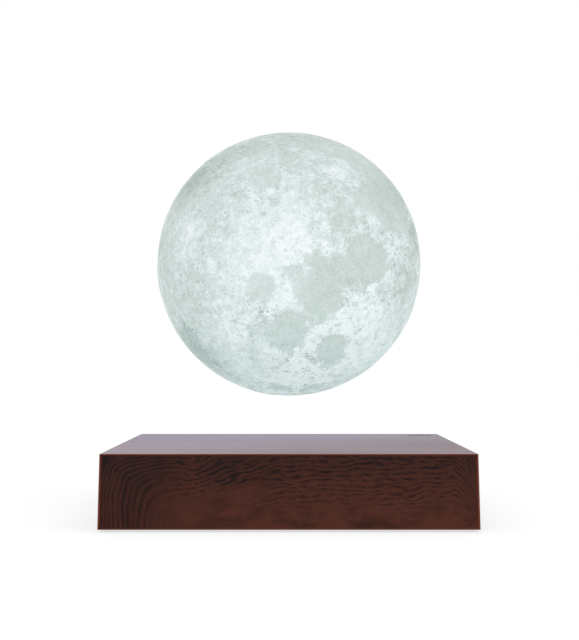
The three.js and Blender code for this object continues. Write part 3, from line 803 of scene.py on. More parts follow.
class FittingSettings(bpy.types.PropertyGroup):
    coil_wire: length("Coil Wire", "Thickness of the levitation coils' wire", 0.6)
    litz: length("Litz Wire", "Thickness of the power coil's wire", 1.2)
    receive_wire: length("Receive Wire", "Thickness of the wire in the moon's power coil", 0.7)
    thread: length("Thread", "How far the case screws' thread stands out", 0.5)


class LampSettings(bpy.types.PropertyGroup):
    moon: PointerProperty(type=MoonSettings)
    wood: PointerProperty(type=WoodSettings)
    base: PointerProperty(type=BaseSettings)
    fittings: PointerProperty(type=FittingSettings)
    stage: PointerProperty(type=StageSettings)


# Moon

FAR = 9.0  # farther than any two places on the globe, in radians
SHORE_WANDER = 0.09
PIT_OCTAVES = ((7.0, 1.0), (13.0, 0.55), (24.0, 0.3))
RAY_EAST = (0.31, 0.52, 0.79)


def angle_to(sheet, direction, centre):
    """The angle between two directions, in radians."""
    cosine = sheet.vector("DOT_PRODUCT", direction, centre)
    return sheet.math("ARCCOSINE", sheet.least(cosine, 1.0))


def bell(sheet, share):
    """1 at zero, and falling off like a bell."""
    return sheet.math("EXPONENT", share * share * -1.0)


def pits(sheet, direction, scale):
    """Small craters of many sizes: how deep the surface lies and how high the rims stand, 0 to 1."""
    cell = sheet.cells(direction, scale)
    size = sheet.parts(cell.output("Color"))[0]
    radius = size * size * 0.3 + 0.1
    share = cell.output("Distance") / radius
    bowl = 1 - sheet.smooth(share, 0.35, 1.0)
    rim = bell(sheet, (share - 1.05) / 0.22)
    return (rim * 0.35 - bowl) * radius * 2.5


def distance(sheet, row, way="shore_way"):
    """How far each point lies from a row's place, in radians. A shore way wanders, and a way doesn't."""
    return angle_to(sheet, read(sheet, way, "FLOAT_VECTOR"), row["centre"])


def bay_step(sheet, given, geometry, row):
    """Brings the shore nearer, and the tone to that of the nearest sea."""
    beyond = distance(sheet, row) - row["reach"]
    nearer = sheet.math("LESS_THAN", beyond, read(sheet, "shore"))
    change = (row["gain"] - read(sheet, "tone")) * nearer
    return limit_to(sheet, add_to(sheet, geometry, "tone", change), "shore", "MINIMUM", beyond)


def sea_step(sheet, given, geometry, row):
    geometry = bay_step(sheet, given, geometry, row)
    share = distance(sheet, row, "way") / row["reach"]
    return limit_to(sheet, geometry, "sea_share", "MINIMUM", share)


def crater_step(sheet, given, geometry, row):
    share = distance(sheet, row, "way") / row["reach"]
    bowl = 1 - sheet.smooth(share, 0.4, 1.0)
    rim = bell(sheet, (share - 1) / 0.3)
    lift = rim * given("Rim Height") - bowl * given("Crater Depth")
    geometry = add_to(sheet, geometry, "swell", lift)
    return add_to(sheet, geometry, "fresh", (rim + bowl * 0.6) * row["gain"])


def ray_step(sheet, given, geometry, row):
    """Bright streaks that fade outwards, round a bright spot in a faint halo."""
    centre = row["centre"]
    way = read(sheet, "way", "FLOAT_VECTOR")
    angle = angle_to(sheet, way, centre)
    east = sheet.vector("NORMALIZE", sheet.vector("CROSS_PRODUCT", centre, RAY_EAST))
    north = sheet.vector("CROSS_PRODUCT", centre, east)
    side = sheet.vector("DOT_PRODUCT", way, east) / angle
    up = sheet.vector("DOT_PRODUCT", way, north) / angle
    spokes = sheet.noise(sheet.combine(side, up, row["index"]), 7.0, 3.0, 0.6)
    streak = sheet.smooth(spokes, 0.52, 0.68)
    fade = 1 - sheet.smooth(angle / row["reach"], 0.15, 1.0)
    spot = bell(sheet, angle / (row["reach"] * 0.11 + 0.008)) * 1.1
    halo = bell(sheet, angle / row["reach"] * 3.0) * 0.14
    rays = (streak * fade * 0.7 + spot + halo) * row["gain"]
    return limit_to(sheet, geometry, "rays", "MAXIMUM", rays)


def floor_step(sheet, given, geometry, row):
    share = distance(sheet, row) / row["reach"]
    dark = (1 - sheet.smooth(share, 0.7, 1.15)) * row["gain"]
    return limit_to(sheet, geometry, "floor", "MAXIMUM", dark)


def bell_step(name):
    """The step that adds a bell round each place to a named value."""

    def step(sheet, given, geometry, row):
        share = distance(sheet, row) / row["reach"]
        return add_to(sheet, geometry, name, bell(sheet, share) * row["gain"])

    return step


# The lunar tables in the order in which they shape the moon, each with what one row of it does
LUNAR = {
    "Seas": (LUNAR_SEAS, sea_step),
    "Bays": (SEA_BAYS, bay_step),
    "Craters": (LUNAR_CRATERS, crater_step),
    "Rays": (RAY_CRATERS, ray_step),
    "Patches": (BROAD_PATCHES, bell_step("patch")),
    "Floors": (DARK_FLOORS, floor_step),
    "Fields": (CRATER_FIELDS, bell_step("field")),
}


def relief_height(sheet, given, way):
    """How far each point lies above the level surface."""
    sea_cover = 1 - sheet.smooth(read(sheet, "sea_share"), 0.8, 1.1)
    swell = read(sheet, "swell") - sea_cover * given("Sea Depth")
    rough = sheet.noise(way, 9.0, 7.0, 0.62, given("Seed")) - 0.5
    small = rough * 0.5
    for scale, depth in PIT_OCTAVES:
        small = small + pits(sheet, sheet.vector("ADD", way, (scale,) * 3), scale) * depth
    calm = 1 - sea_cover * 0.85
    ceiling = sheet.most(swell, 0.0)
    height = sheet.least(swell + (small - 0.35) * calm * given("Pit Depth"), ceiling)
    return sheet.least(height, given("Rim Height"))


def relief_tree():
    """Lunar relief on the points marked as outer, with what the colour needs stored on them."""
    sizes = ("Mean Radius", "Sea Depth", "Crater Depth", "Rim Height", "Pit Depth", "Seed", "Centre Height")
    inputs = {**dict.fromkeys(sizes, NUMBER), **dict.fromkeys(LUNAR, OBJECT)}
    sheet, given = geometry_tree("moon relief", inputs)
    direction = sheet.vector("NORMALIZE", sheet.add("GeometryNodeInputPosition"))
    wander = sheet.noise(direction, 8.0, 4.0, 0.6, given("Seed"))
    warped = sheet.vector("NORMALIZE", sheet.strayed(direction, wander, SHORE_WANDER))
    geometry = keep(sheet, given("Geometry"), "way", direction, "FLOAT_VECTOR")
    geometry = keep(sheet, geometry, "shore_way", warped, "FLOAT_VECTOR")
    for name, value in {"shore": FAR, "sea_share": FAR, "tone": 0.0, "swell": 0.0}.items():
        geometry = keep(sheet, geometry, name, value)
    for table, (_, step) in LUNAR.items():
        geometry = for_each_row(sheet, given, geometry, table, step)
    way = read(sheet, "way", "FLOAT_VECTOR")
    raised = sheet.vector("SCALE", way, given("Mean Radius") + relief_height(sheet, given, way))
    outer = sheet.math("GREATER_THAN", read(sheet, "outer"), 0.5)
    sockets = {"Geometry": geometry, "Selection": outer, "Position": raised}
    shaped = sheet.add("GeometryNodeSetPosition", None, sockets)
    for name in ("way", "shore_way", "sea_share", "swell"):
        shaped = sheet.add("GeometryNodeRemoveAttribute", None, {"Geometry": shaped, "Name": name})
    up = sheet.combine(0.0, 0.0, given("Centre Height"))
    lifted = sheet.add("GeometryNodeTransform", None, {"Geometry": shaped, "Translation": up})
    end_tree(sheet, given, lifted)
    return sheet.tree


def lunar_table(rows):
    """A table of lunar places as an object of loose points on the turned globe."""
    turn = globe_turn()
    places = [turn @ globe_point(row[0], row[1]) for row in rows]
    reaches = [math.radians(row[2]) for row in rows]
    return linked("lunar_table", points_mesh(places, reach=reaches, gain=[row[3] for row in rows]))


def on_sphere(radius, out):
    """The height at which a sphere round the origin is that far from its axis, below its middle."""
    return -math.sqrt(radius**2 - out**2)


def sphere_rows(radius, low, high, count):
    """Profile points on a sphere between two heights, at even angles."""
    first = math.asin(max(-1.0, low / radius))
    last = math.asin(min(1.0, high / radius))
    angles = [first + (last - first) * i / count for i in range(count + 1)]
    points = [(radius * math.cos(a), radius * math.sin(a)) for a in angles]
    return [(0.0, z) if abs(r) < 1e-7 else (r, z) for r, z in points]


def moon_skin(profile, segments, radius):
    """A solid of revolution about the moon's middle, with the points on its outer skin marked."""
    mesh = lathe(profile, segments)
    outer = [1.0 if abs(vertex.co.length - radius) < 1e-6 else 0.0 for vertex in mesh.vertices]
    mesh.attributes.new("outer", "FLOAT", "POINT").data.foreach_set("value", outer)
    return mesh


HATCH_RADIUS = 17.5 * MM
COLLAR_WIDTH = 1.6 * MM
COLLAR_HEIGHT = 2.0 * MM
PLUG_RADIUS = 17.2 * MM
CUP_RADIUS = 13.8 * MM
CUP_BORE = 12.3 * MM
CUP_REBATE = 13.1 * MM
HOOK_THICKNESS = 1.0 * MM
HOOK_REACH = 0.9 * MM
HOOK_HEIGHT = 1.2 * MM
HOOK_ANGLE = 18
HOOK_COUNT = 3
INNER_RINGS = 26
CAP_RINGS = 44


def shell_mesh(moon):
    """The hollow ball, with a collar round its hatch."""
    collar = HATCH_RADIUS + COLLAR_WIDTH
    collar_foot = on_sphere(moon.hollow_radius, collar)
    collar_top = collar_foot + COLLAR_HEIGHT
    inner = sphere_rows(moon.hollow_radius, collar_foot, moon.hollow_radius, INNER_RINGS)
    edge = on_sphere(moon.mean_radius, HATCH_RADIUS)
    outer = sphere_rows(moon.mean_radius, edge, moon.mean_radius, moon.rings)
    profile = inner[::-1] + [(collar, collar_top), (HATCH_RADIUS, collar_top)] + outer
    return moon_skin(profile, moon.segments, moon.mean_radius)


def plug_mesh(moon):
    """The cap that closes the hatch, with a cup for the magnet, and the height of its deck."""
    edge = on_sphere(moon.mean_radius, PLUG_RADIUS)
    deck = edge + 1.5 * MM
    cup_floor = on_sphere(moon.mean_radius, CUP_BORE) + 1.6 * MM
    shoulder = cup_floor + 8.6 * MM
    rim = shoulder + 1.8 * MM
    cap = sphere_rows(moon.mean_radius, -moon.mean_radius, edge, CAP_RINGS)
    profile = cap + [
        (PLUG_RADIUS, deck),
        (CUP_RADIUS, deck),
        (CUP_RADIUS, rim),
        (CUP_REBATE, rim),
        (CUP_REBATE, shoulder),
        (CUP_BORE, shoulder),
        (CUP_BORE, cup_floor),
        (0.0, cup_floor),
    ]
    return moon_skin(profile, moon.segments, moon.mean_radius), deck


def hook_mesh(moon, deck):
    """One of the hooks that hold the plug on the collar."""
    collar_top = on_sphere(moon.hollow_radius, HATCH_RADIUS + COLLAR_WIDTH) + COLLAR_HEIGHT
    catch = collar_top + 0.3 * MM
    inner = PLUG_RADIUS - HOOK_THICKNESS
    profile = [
        (inner, deck - 0.5 * MM),
        (PLUG_RADIUS - 0.02 * MM, deck - 0.5 * MM),
        (PLUG_RADIUS - 0.02 * MM, catch),
        (PLUG_RADIUS + HOOK_REACH, catch),
        (PLUG_RADIUS, catch + HOOK_HEIGHT),
        (inner, catch + HOOK_HEIGHT),
    ]
    return sector(profile, HOOK_ANGLE, 12)


def ring_tree():
    """Copies of an object on places, each turned by its own angle."""
    sheet, given = geometry_tree("copies", {"Copy": OBJECT})
    copy = sheet.add("GeometryNodeObjectInfo", {"transform_space": "ORIGINAL"}, {"Object": given("Copy")})
    turn = sheet.combine(0.0, 0.0, read(sheet, "turn"))
    sockets = {"Points": given("Geometry"), "Instance": copy.output("Geometry"), "Rotation": turn}
    copies = sheet.add("GeometryNodeInstanceOnPoints", None, sockets)
    end_tree(sheet, given, copies)
    return sheet.tree


def copies(mesh, places, turns=None, look=None):
    """One mesh that holds a copy of another at each place."""
    source = linked("copy", mesh)
    points = points_mesh(places, turn=turns or [0.0] * len(places))
    values = {"Copy": source}
    if look is not None:
        values["Material"] = look
    made = grown(shared_tree("copies", ring_tree), points, values)
    bpy.data.objects.remove(source)
    return made


def turned(mesh, turns):
    """One mesh that holds a copy of another at each turn about the upright axis."""
    return copies(mesh, [(0, 0, 0)] * len(turns), turns)


def shared_tree(name, make):
    """A tree that several pieces use is made once."""
    return bpy.data.node_groups.get(name) or make()


RING_OCTAVES = ((11.0, 0.3), (18.0, 0.46), (30.0, 0.46))


def shore_cover(sheet, at, bent):
    """1 in the seas and 0 on the highlands, with a ragged shore."""
    coarse = (sheet.noise(at, 11.0, 9.0, 0.75) - 0.5) * 0.26
    fine = (sheet.noise(bent, 36.0, 4.0, 0.7) - 0.5) * 0.08
    return sheet.smooth(sheet.attribute("shore") + (coarse + fine), 0.014, -0.014)


def wildness(sheet):
    """How broken the highlands are: more along the coasts and where small craters crowd."""
    coast = bell(sheet, (sheet.attribute("shore") - 0.05) / 0.09) * sheet.attribute("tone")
    dark = sheet.least(sheet.attribute("patch"), 0.0)
    wild = coast * 0.5 + sheet.attribute("field") * 1.1 + dark * 1.1 + 0.45
    return sheet.most(wild, 0.2)


def with_rings(sheet, value, bent, wild):
    """A brightness with small bright rings that have dark hearts."""
    for scale, gain in RING_OCTAVES:
        cell = sheet.cells(sheet.vector("ADD", bent, (scale,) * 3), scale)
        size = sheet.parts(cell.output("Color"))[0] * 0.2 + 0.2
        share = cell.output("Distance") / size
        rim = bell(sheet, (share - 1) / 0.3)
        hollow = 1 - sheet.smooth(share, 0.4, 0.9)
        strength = sheet.smooth(sheet.parts(cell.output("Color"))[1], 0.25, 1.0) * gain
        value = value + (rim - hollow * 0.55) * strength * wild
    return value


def moon_value(sheet, at, bent, clump, thread, grit):
    """How bright each place is: 0 on the darkest floors and 1 on fresh rims."""
    patch = sheet.attribute("patch")
    # Highlands: broad unevenness, bright threads and grains, and rings
    wild = wildness(sheet)
    broad = sheet.noise(at, 3.0, 5.0, 0.6) - 0.5
    fine_thread = bell(sheet, (sheet.noise(bent, 27.0, 4.0, 0.66) - 0.5) / 0.03)
    value = broad * 0.3 + clump * (wild * 1.5 + 0.35) + grit * (wild * 0.8 + 0.3) + 0.35
    value = value + (thread * 0.26 + fine_thread * 0.24) * wild
    value = with_rings(sheet, value, bent, wild) + patch + sheet.attribute("fresh") * 0.2
    # Bright dots are scattered over everything
    dots = sheet.cells(at, 26.0)
    dot = (1 - sheet.smooth(dots.output("Distance"), 0.05, 0.16)) * 0.4
    dot = dot * sheet.smooth(sheet.parts(dots.output("Color"))[2], 0.5, 0.9)
    value = value + dot * 0.7
    # Seas: flat and faintly mottled
    cover = shore_cover(sheet, at, bent)
    tone = sheet.attribute("tone")
    mottle = sheet.noise(at, 10.0, 8.0, 0.75) - 0.5
    flat = mottle * 0.7 + grit * 0.7 + dot + patch * 0.35 + 0.28
    value = value + (flat - value) * cover * sheet.least(tone, 1.0)
    value = value - sheet.most(tone - 1.0, 0.0) * cover * 0.5
    value = value + sheet.attribute("rays") * 0.35
    value = value - sheet.attribute("floor") * 0.35
    # Faces inside the moon are plain resin
    within = sheet.smooth(sheet.vector("LENGTH", at).output("Value"), 0.975, 0.965)
    return value + (clump * 0.3 + 0.5 - value) * within


def moon_resin(settings):
    """Pale resin lit from inside: seas with ragged shores, cracked highlands, rims and rays."""

    def describe(sheet):
        at = sheet.place(MOON_CENTRE, 1 / settings.mean_radius)
        bent = sheet.strayed(at, sheet.noise(at, 15.0, 3.0, 0.6), 0.06)
        clump = sheet.noise(bent, 14.0, 6.0, 0.68) - 0.5
        thread = bell(sheet, (sheet.noise(bent, 12.0, 5.0, 0.66) - 0.5) / 0.022)
        grit = sheet.noise(at, 60.0, 3.0, 0.65) - 0.5
        value = moon_value(sheet, at, bent, clump, thread, grit)
        stops = (
            (0.0, settings.floor),
            (0.15, colour(194, 207, 204)),
            (0.3, settings.sea),
            (0.5, settings.highland),
            (0.75, colour(233, 243, 244)),
            (1.0, settings.bright),
        )
        shade = sheet.ramp(value, stops)
        height = clump + thread * 0.3 + grit
        # The light stands low in the ball, so the lower half glows a little more
        up = sheet.parts(at)[2]
        lit = up * -0.16 + 0.97
        red = lit + sheet.least(up, 0.0) * 0.09 - 0.01
        glow = sheet.blend(1.0, shade, sheet.combine(red, lit, lit), "MULTIPLY")
        return {
            "Base Color": sheet.blend(1.0, shade, solid((settings.resin,) * 3), "MULTIPLY"),
            "Roughness": sheet.least(value * -0.1 + 0.72, 0.8),
            "Normal": sheet.bump(height, 0.25, 0.0002),
            "Emission Color": glow,
            "Emission Strength": settings.glow,
            "Specular IOR Level": 0.2,
        }

    return material("moon_resin", describe)


class LAMP_OT_moon(bpy.types.Operator):
    """Build the moon: the shell and the hatch plug with their lunar relief"""

    bl_idname = "lamp.moon"
    bl_label = "Moon"

    def execute(self, context):
        moon = context.scene.lamp.moon
        tree = relief_tree()
        look = moon_resin(moon)
        tables = {name: lunar_table(rows) for name, (rows, _) in LUNAR.items()}
        values = {
            "Mean Radius": moon.mean_radius,
            "Sea Depth": moon.sea_depth,
            "Crater Depth": moon.crater_depth,
            "Rim Height": moon.rim_height,
            "Pit Depth": moon.pit_depth,
            "Seed": moon.seed,
            "Centre Height": MOON_CENTRE.z,
            "Material": look,
            **tables,
        }
        shell = grown(tree, shell_mesh(moon), values)
        piece("moon_shell_relief", shell, "moon", "moon_resin", ["moon_shell"], crease=50)
        plug, deck = plug_mesh(moon)
        plug = grown(tree, plug, values)
        turns = [2 * math.pi * i / HOOK_COUNT for i in range(HOOK_COUNT)]
        hooks = copies(hook_mesh(moon, deck), [MOON_CENTRE] * HOOK_COUNT, turns, look)
        plug = carved(plug, [hooks], "UNION")
        piece("hatch_plug_relief", plug, "moon", "moon_resin", ["hatch_plug"], crease=50)
        for table in tables.values():
            bpy.data.objects.remove(table)
        return {"FINISHED"}


# Wood-grain film

GRAIN_HEART = -27.8  # the middle of the nested arches, along their side and in millimetres


def side_place(sheet, x, y):
    """How far along its side of the base a point lies, and a number that stands for the side."""
    facing = sheet.math("GREATER_THAN", sheet.math("ABSOLUTE", y), sheet.math("ABSOLUTE", x))
    behind = sheet.math("GREATER_THAN", y, 0.0)
    right = sheet.math("GREATER_THAN", x, 0.0)
    along = y + (x - y) * facing
    return along, facing * behind * 3.0 + (1 - facing) * (right * 4.0 + 7.0)


def grain_rings(sheet, along, z, side, margin):
    """How far out a point lies in the nested arches: 0 at their heart, growing to the left edge."""
    warp = sheet.noise(sheet.combine(along * 0.1, z * 0.12, side), 1.0, 3.0, 0.5) - 0.5
    ripple = sheet.noise(sheet.combine(along * 0.3, z * 0.25, side + 1.5), 1.0, 2.0, 0.5) - 0.5
    out = sheet.most((along - GRAIN_HEART) * -1.0, 0.0)
    up = (z - 3.5) * 1.32
    plain = sheet.math("SQRT", out * out + up * up)
    power = sheet.smooth(plain, 10.0, 25.0) * 2.4 + 2.0
    arch = (out ** power + sheet.most(up, 0.01) ** power) ** (1 / power)
    past = sheet.most(along - GRAIN_HEART, 0.0)
    climb = sheet.least(past * 0.38, past * 0.04 + 8.5)
    bend = sheet.most(along - 46.0, 0.0)
    flow = up - climb + bend * bend * 0.25
    level = sheet.smooth(along, GRAIN_HEART - 7.0, GRAIN_HEART + 6.0)
    steady = 1 - margin * 0.45
    return arch + (flow - arch) * level + (warp * 4.0 + ripple * 1.3) * steady


def arch_lines(sheet, along, z, side, ring):
    """Lines round the arches, each its own strength, closer together towards the edge."""
    inward = sheet.most(HOUSING_HIGH.x / MM + GRAIN_HEART - ring, 0.0)
    turns = sheet.math("SQRT", inward * 0.18 + 0.7225) * 11.11 - 9.44
    gaps = sheet.noise(sheet.combine(along * 0.22, z * 0.18, side + 6.0), 1.0, 3.0, 0.6)
    own = sheet.noise(sheet.combine(turns * 1.3, z * 0.04, side), 1.0, 2.0, 0.6)
    own = sheet.smooth(own, 0.3, 0.65)
    thin = sheet.math("SINE", turns * 15.1 + gaps * 5.0) * 0.15
    even = sheet.math("SINE", turns * 6.2832) * 0.32 + thin + 0.5
    even = sheet.smooth(even + gaps * 1.3, 0.75, 1.8) * (own * 0.75 + 0.25)
    return even * (0.8 - sheet.smooth(inward, 8.0, 22.0) * 0.2)


def dash_lines(sheet, along, ring, side):
    """Rows of short, tapering dashes."""
    sway = sheet.noise(sheet.combine(along * 0.16, ring * 0.3, side + 5.0), 1.0, 2.0, 0.5)
    rows = sheet.math("SINE", ring * 3.4 + sway * 11.0) * 0.5 + 0.5
    mask = sheet.noise(sheet.combine(along * 0.34, ring * 0.95, side), 1.0, 4.0, 0.6)
    return sheet.smooth(rows * 0.2 + mask, 0.52, 0.8) * 0.78


def side_grain(sheet, x, y, z):
    """How dark the grain of a side is: arches at its left edge, and dashes over the middle and the right."""
    along, side = side_place(sheet, x, y)
    margin = sheet.smooth(along, -27.0, -42.0)
    ring = grain_rings(sheet, along, z, side, margin)
    dashes = dash_lines(sheet, along, ring, side)
    lines = dashes + (arch_lines(sheet, along, z, side, ring) - dashes) * margin
    # The heart of the arches and the lower part are calm, with soft dark patches
    shore = sheet.noise(sheet.combine(along * 0.08, z * 0.1, side + 8.0), 1.0, 3.0, 0.6)
    shore = (shore - 0.5) * 9.0
    calm_low = sheet.smooth(z + shore, 5.5, 9.5)
    calm_heart = sheet.smooth(ring + shore, 4.0, 10.0)
    calm_heart = sheet.most(calm_heart, sheet.smooth(along, -14.0, -2.0))
    calm = sheet.most(calm_low * calm_heart, margin)
    soft = sheet.noise(sheet.combine(along * 0.12, z * 0.22, side + 9.0), 1.0, 7.0, 0.68)
    soft = sheet.smooth(soft, 0.42, 0.62) * 0.6
    grain = soft + (lines - soft) * calm
    # Broad darker and lighter bands, darker towards the top and at the left edge
    low = HOUSING_LOW.z / MM
    high = HOUSING_HIGH.z / MM
    band = sheet.noise(sheet.combine(along * 0.04, ring * 0.1, side + 4.0), 1.0, 2.0, 0.5)
    slope = (z - low) * 0.025 + sheet.smooth(z, high - 11.0, high) * 0.1
    slope = slope * (1 - margin * 0.5)
    grain = grain * (band * 0.9 + 0.35) + sheet.smooth(band, 0.45, 0.75) * 0.2 + slope - 0.1
    return grain + margin * 0.32 + sheet.smooth(along, -25.0, -37.0) * 0.12


def wood_film(settings, base):
    """Dark wood-grain film: nested arches of grain on each side, streaks on the top."""
    low = HOUSING_LOW.z / MM
    high = HOUSING_HIGH.z / MM
    half = HOUSING_HIGH.x / MM
    lean = base.lean / MM
    touch_x = half - (base.lean + base.touch_inset) / MM
    touch_y = half - (base.lean + base.touch_setback) / MM

    def describe(sheet):
        at = sheet.place()
        x, y, z = sheet.parts(at)
        wide = sheet.math("ABSOLUTE", x)
        deep = sheet.math("ABSOLUTE", y)
        # The top has straight streaks
        streak = sheet.noise(sheet.combine(x * 0.012, y * 0.4, 3.0), 1.0, 6.0, 0.7)
        edge_at = half - lean * (z - low) * (1 / (high - low))
        from_side = edge_at - sheet.most(wide, deep)
        on_top = sheet.most(sheet.smooth(z, high - 0.12, high - 0.02), sheet.smooth(from_side, 0.4, 0.8))
        grain = side_grain(sheet, x, y, z)
        grain = grain + (sheet.smooth(streak, 0.3, 0.7) - grain) * on_top
        dust = sheet.noise(at, 5.0, 3.0, 0.7) - 0.5
        grain = sheet.least(sheet.most(grain + dust * 0.3, 0.0), 1.0)
        tone = sheet.blend(grain, solid(settings.light), solid(settings.dark))
        # Film stretched over the edges: reddish on the upright corners, red under the top
        from_corner = edge_at - sheet.least(wide, deep)
        corner = sheet.smooth(from_corner, 1.2, 0.5) * 0.5
        lip = sheet.smooth(z, high - 0.75, high - 0.2) * 0.8
        stretched = sheet.most(corner, lip)
        tone = sheet.blend(stretched * (1 - on_top), tone, solid(settings.edge))
        # Painted highlight: a pale line along the upright corners, where light catches their rounding. The
        # lowest 0.7 mm of each side is painted a little paler.
        rim = sheet.smooth(from_corner, 0.72, 0.25) * (1 - lip) * 0.85
        foot = sheet.smooth(z, low + 0.7, low + 0.15) * 0.2
        tone = sheet.blend(sheet.most(rim, foot) * (1 - on_top), tone, solid(settings.corner_highlight))
        # Painted light: the front part of the top is painted lighter and warmer, standing in for how the
        # light falls there.
        painted_front_warmth = sheet.smooth(y, 20.0, -half) * (1 - sheet.smooth(streak, 0.35, 0.65) * 0.7)
        tone = sheet.blend(painted_front_warmth * on_top * 0.6, tone, solid(settings.corner_highlight))
        # The touch switch is a disc of bare film in the lacquered top
        from_touch = sheet.math("SQRT", (x - touch_x) ** 2.0 + (y - touch_y) ** 2.0)
        touched = sheet.smooth(from_touch, base.touch_radius / MM, base.touch_radius / MM - 0.3) * on_top
        lacquer = sheet.smooth(y, 0.0, -half) * 0.08 + settings.lacquer
        sheen = sheet.smooth(streak, 0.25, 0.75) - 0.5
        height = grain * -0.5 + sheet.noise(at, 14.0, 3.0, 0.6) * 0.5
        return {
            "Base Color": tone,
            "Roughness": sheen * 0.08 * on_top + dust * 0.1 + settings.roughness,
            "Normal": sheet.bump(height, 0.1, 0.0001),
            "Specular IOR Level": settings.gloss,
            "Coat Weight": on_top * (1 - touched * 0.3) * lacquer,
            "Coat Roughness": 0.17,
            "Sheen Weight": settings.sheen,
            "Sheen Roughness": 0.22,
            "Sheen Tint": solid(settings.sheen_tint),
        }

    return material("wood_film", describe)


def outline(half_width, half_depth, radius, height, steps):
    """Points of a level rectangle with rounded corners, counter-clockwise from the front right corner."""
    points = []
    for quarter, (sx, sy) in enumerate(((1, -1), (1, 1), (-1, 1), (-1, -1))):
        start = math.pi / 2 * (quarter - 1)
        for step in range(steps + 1):
            angle = start + math.pi / 2 * step / steps
            x = sx * (half_width - radius) + radius * math.cos(angle)
            y = sy * (half_depth - radius) + radius * math.sin(angle)
            points.append((x, y, height))
    return points


def square_ring(half, radius, height, steps):
    return outline(half, half, radius, height, steps)


def lofted(rings):
    """A closed solid through rings of points, from the lowest to the highest."""
    count = len(rings[0])
    points = [point for ring in rings for point in ring]
    faces = [tuple(reversed(range(count)))]
    for layer in range(len(rings) - 1):
        for i in range(count):
            a = layer * count + i
            b = layer * count + (i + 1) % count
            faces.append((a, b, b + count, a + count))
    faces.append(tuple(range(len(points) - count, len(points))))
    return mesh_of(points, faces)


def plate(half, radius, low, high, steps=6):
    return lofted([square_ring(half, radius, z, steps) for z in (low, high)])


def rod(radius, low, high, segments=48):
    return lathe([(0.0, low), (radius, low), (radius, high), (0.0, high)], segments)


CORNER_STEPS = 6
ROLL_STEPS = 4
REBATE = 1.2 * MM
LEDGE = 3.3 * MM
BOSS_RADIUS = 3.0 * MM
BOSS_RIB = 1.4 * MM
BOSS_LOW = 9.2 * MM
PILOT_RADIUS = 1.5 * MM
PILOT_TOP = 13.4 * MM
TOUCH_GROOVE = 0.4 * MM
TOUCH_SINK = 0.06 * MM
OVERRUN = 1.0 * MM


def along_jack(mesh):
    """Turns a mesh about Z to the axis of the power jack, which runs towards the back."""
    low, high = box_of("jack_pin")
    axis = Matrix.Translation(((low.x + high.x) / 2, 0, (low.z + high.z) / 2))
    mesh.transform(axis @ Matrix.Rotation(-math.pi / 2, 4, "X"))
    return mesh


def leaning_block(base, top_half):
    """The outside of the housing, which leans in and has a rolled upper edge."""
    rings = [square_ring(HOUSING_HIGH.x, base.corner, HOUSING_LOW.z, CORNER_STEPS)]
    for step in range(ROLL_STEPS + 1):
        angle = math.pi / 2 * step / ROLL_STEPS
        inward = base.rolled * (1 - math.cos(angle))
        height = HOUSING_HIGH.z - base.rolled * (1 - math.sin(angle))
        rings.append(square_ring(top_half - inward, base.corner - inward, height, CORNER_STEPS))
    return lofted(rings)


def touch_cutter(base, top_half):
    """The cutter for the touch switch: a groove round a disc that lies just below the top."""
    high = HOUSING_HIGH.z
    disc_radius = base.touch_radius - TOUCH_GROOVE
    profile = [
        (0.0, high - TOUCH_SINK),
        (disc_radius - TOUCH_SINK, high - TOUCH_SINK),
        (disc_radius, high - 2 * TOUCH_SINK),
        (disc_radius, high - base.touch_depth),
        (base.touch_radius - TOUCH_SINK, high - base.touch_depth),
        (base.touch_radius, high - base.touch_depth + TOUCH_SINK),
        (base.touch_radius, high + OVERRUN),
        (0.0, high + OVERRUN),
    ]
    return moved_mesh(lathe(profile, 72), top_half - base.touch_inset, top_half - base.touch_setback, 0)


def screw_boss(x, y, wall_at, top):
    """A boss for a case screw, and the rib that ties it to the wall."""
    reach = wall_at - abs(x)
    rib = plate(0.5, 0.05, BOSS_LOW, top, 1)
    rib.transform(Matrix.Diagonal((reach, BOSS_RIB, 1, 1)))
    boss = moved_mesh(rod(BOSS_RADIUS, BOSS_LOW, top, 32), x, y, 0)
    return boss, moved_mesh(rib, x + math.copysign(reach / 2, x), y, 0)


def housing_mesh(base):
    """The hollow housing, with the touch switch, the mouth of the power jack and the screws' bosses."""
    top_half = HOUSING_HIGH.x - base.lean
    cavity_half = top_half - base.wall
    ceiling = HOUSING_HIGH.z - base.top
    below = HOUSING_LOW.z - OVERRUN
    hollows = [
        plate(cavity_half, base.corner, below, ceiling),
        plate(cavity_half + REBATE, base.corner, below, LEDGE),
        touch_cutter(base, top_half),
    ]
    shell = carved(leaning_block(base, top_half), hollows)
    face = box_of("power_jack")[1].y
    wall_at = cavity_half + base.wall / 2
    added = [along_jack(rod(base.mouth_radius + base.mouth_collar, face + 0.3 * MM, wall_at, 64))]
    pilots = [along_jack(rod(base.mouth_radius, face - OVERRUN, HOUSING_HIGH.x + OVERRUN, 64))]
    for x, y, _ in middles(CASE_SCREWS):
        added += screw_boss(x, y, wall_at, ceiling + base.top / 2)
        pilots.append(moved_mesh(rod(PILOT_RADIUS, BOSS_LOW - OVERRUN, PILOT_TOP, 24), x, y, 0))
    return carved(carved(shell, added, "UNION"), pilots)


class LAMP_OT_housing(bpy.types.Operator):
    """Build the base housing in its wood-grain film"""

    bl_idname = "lamp.housing"
    bl_label = "Base Housing"

    def execute(self, context):
        lamp = context.scene.lamp
        look = wood_film(lamp.wood, lamp.base)
        piece("wood_housing", housing_mesh(lamp.base), "base", "wood_grain", ["base_housing"], look, 30)
        return {"FINISHED"}


# Small finishes

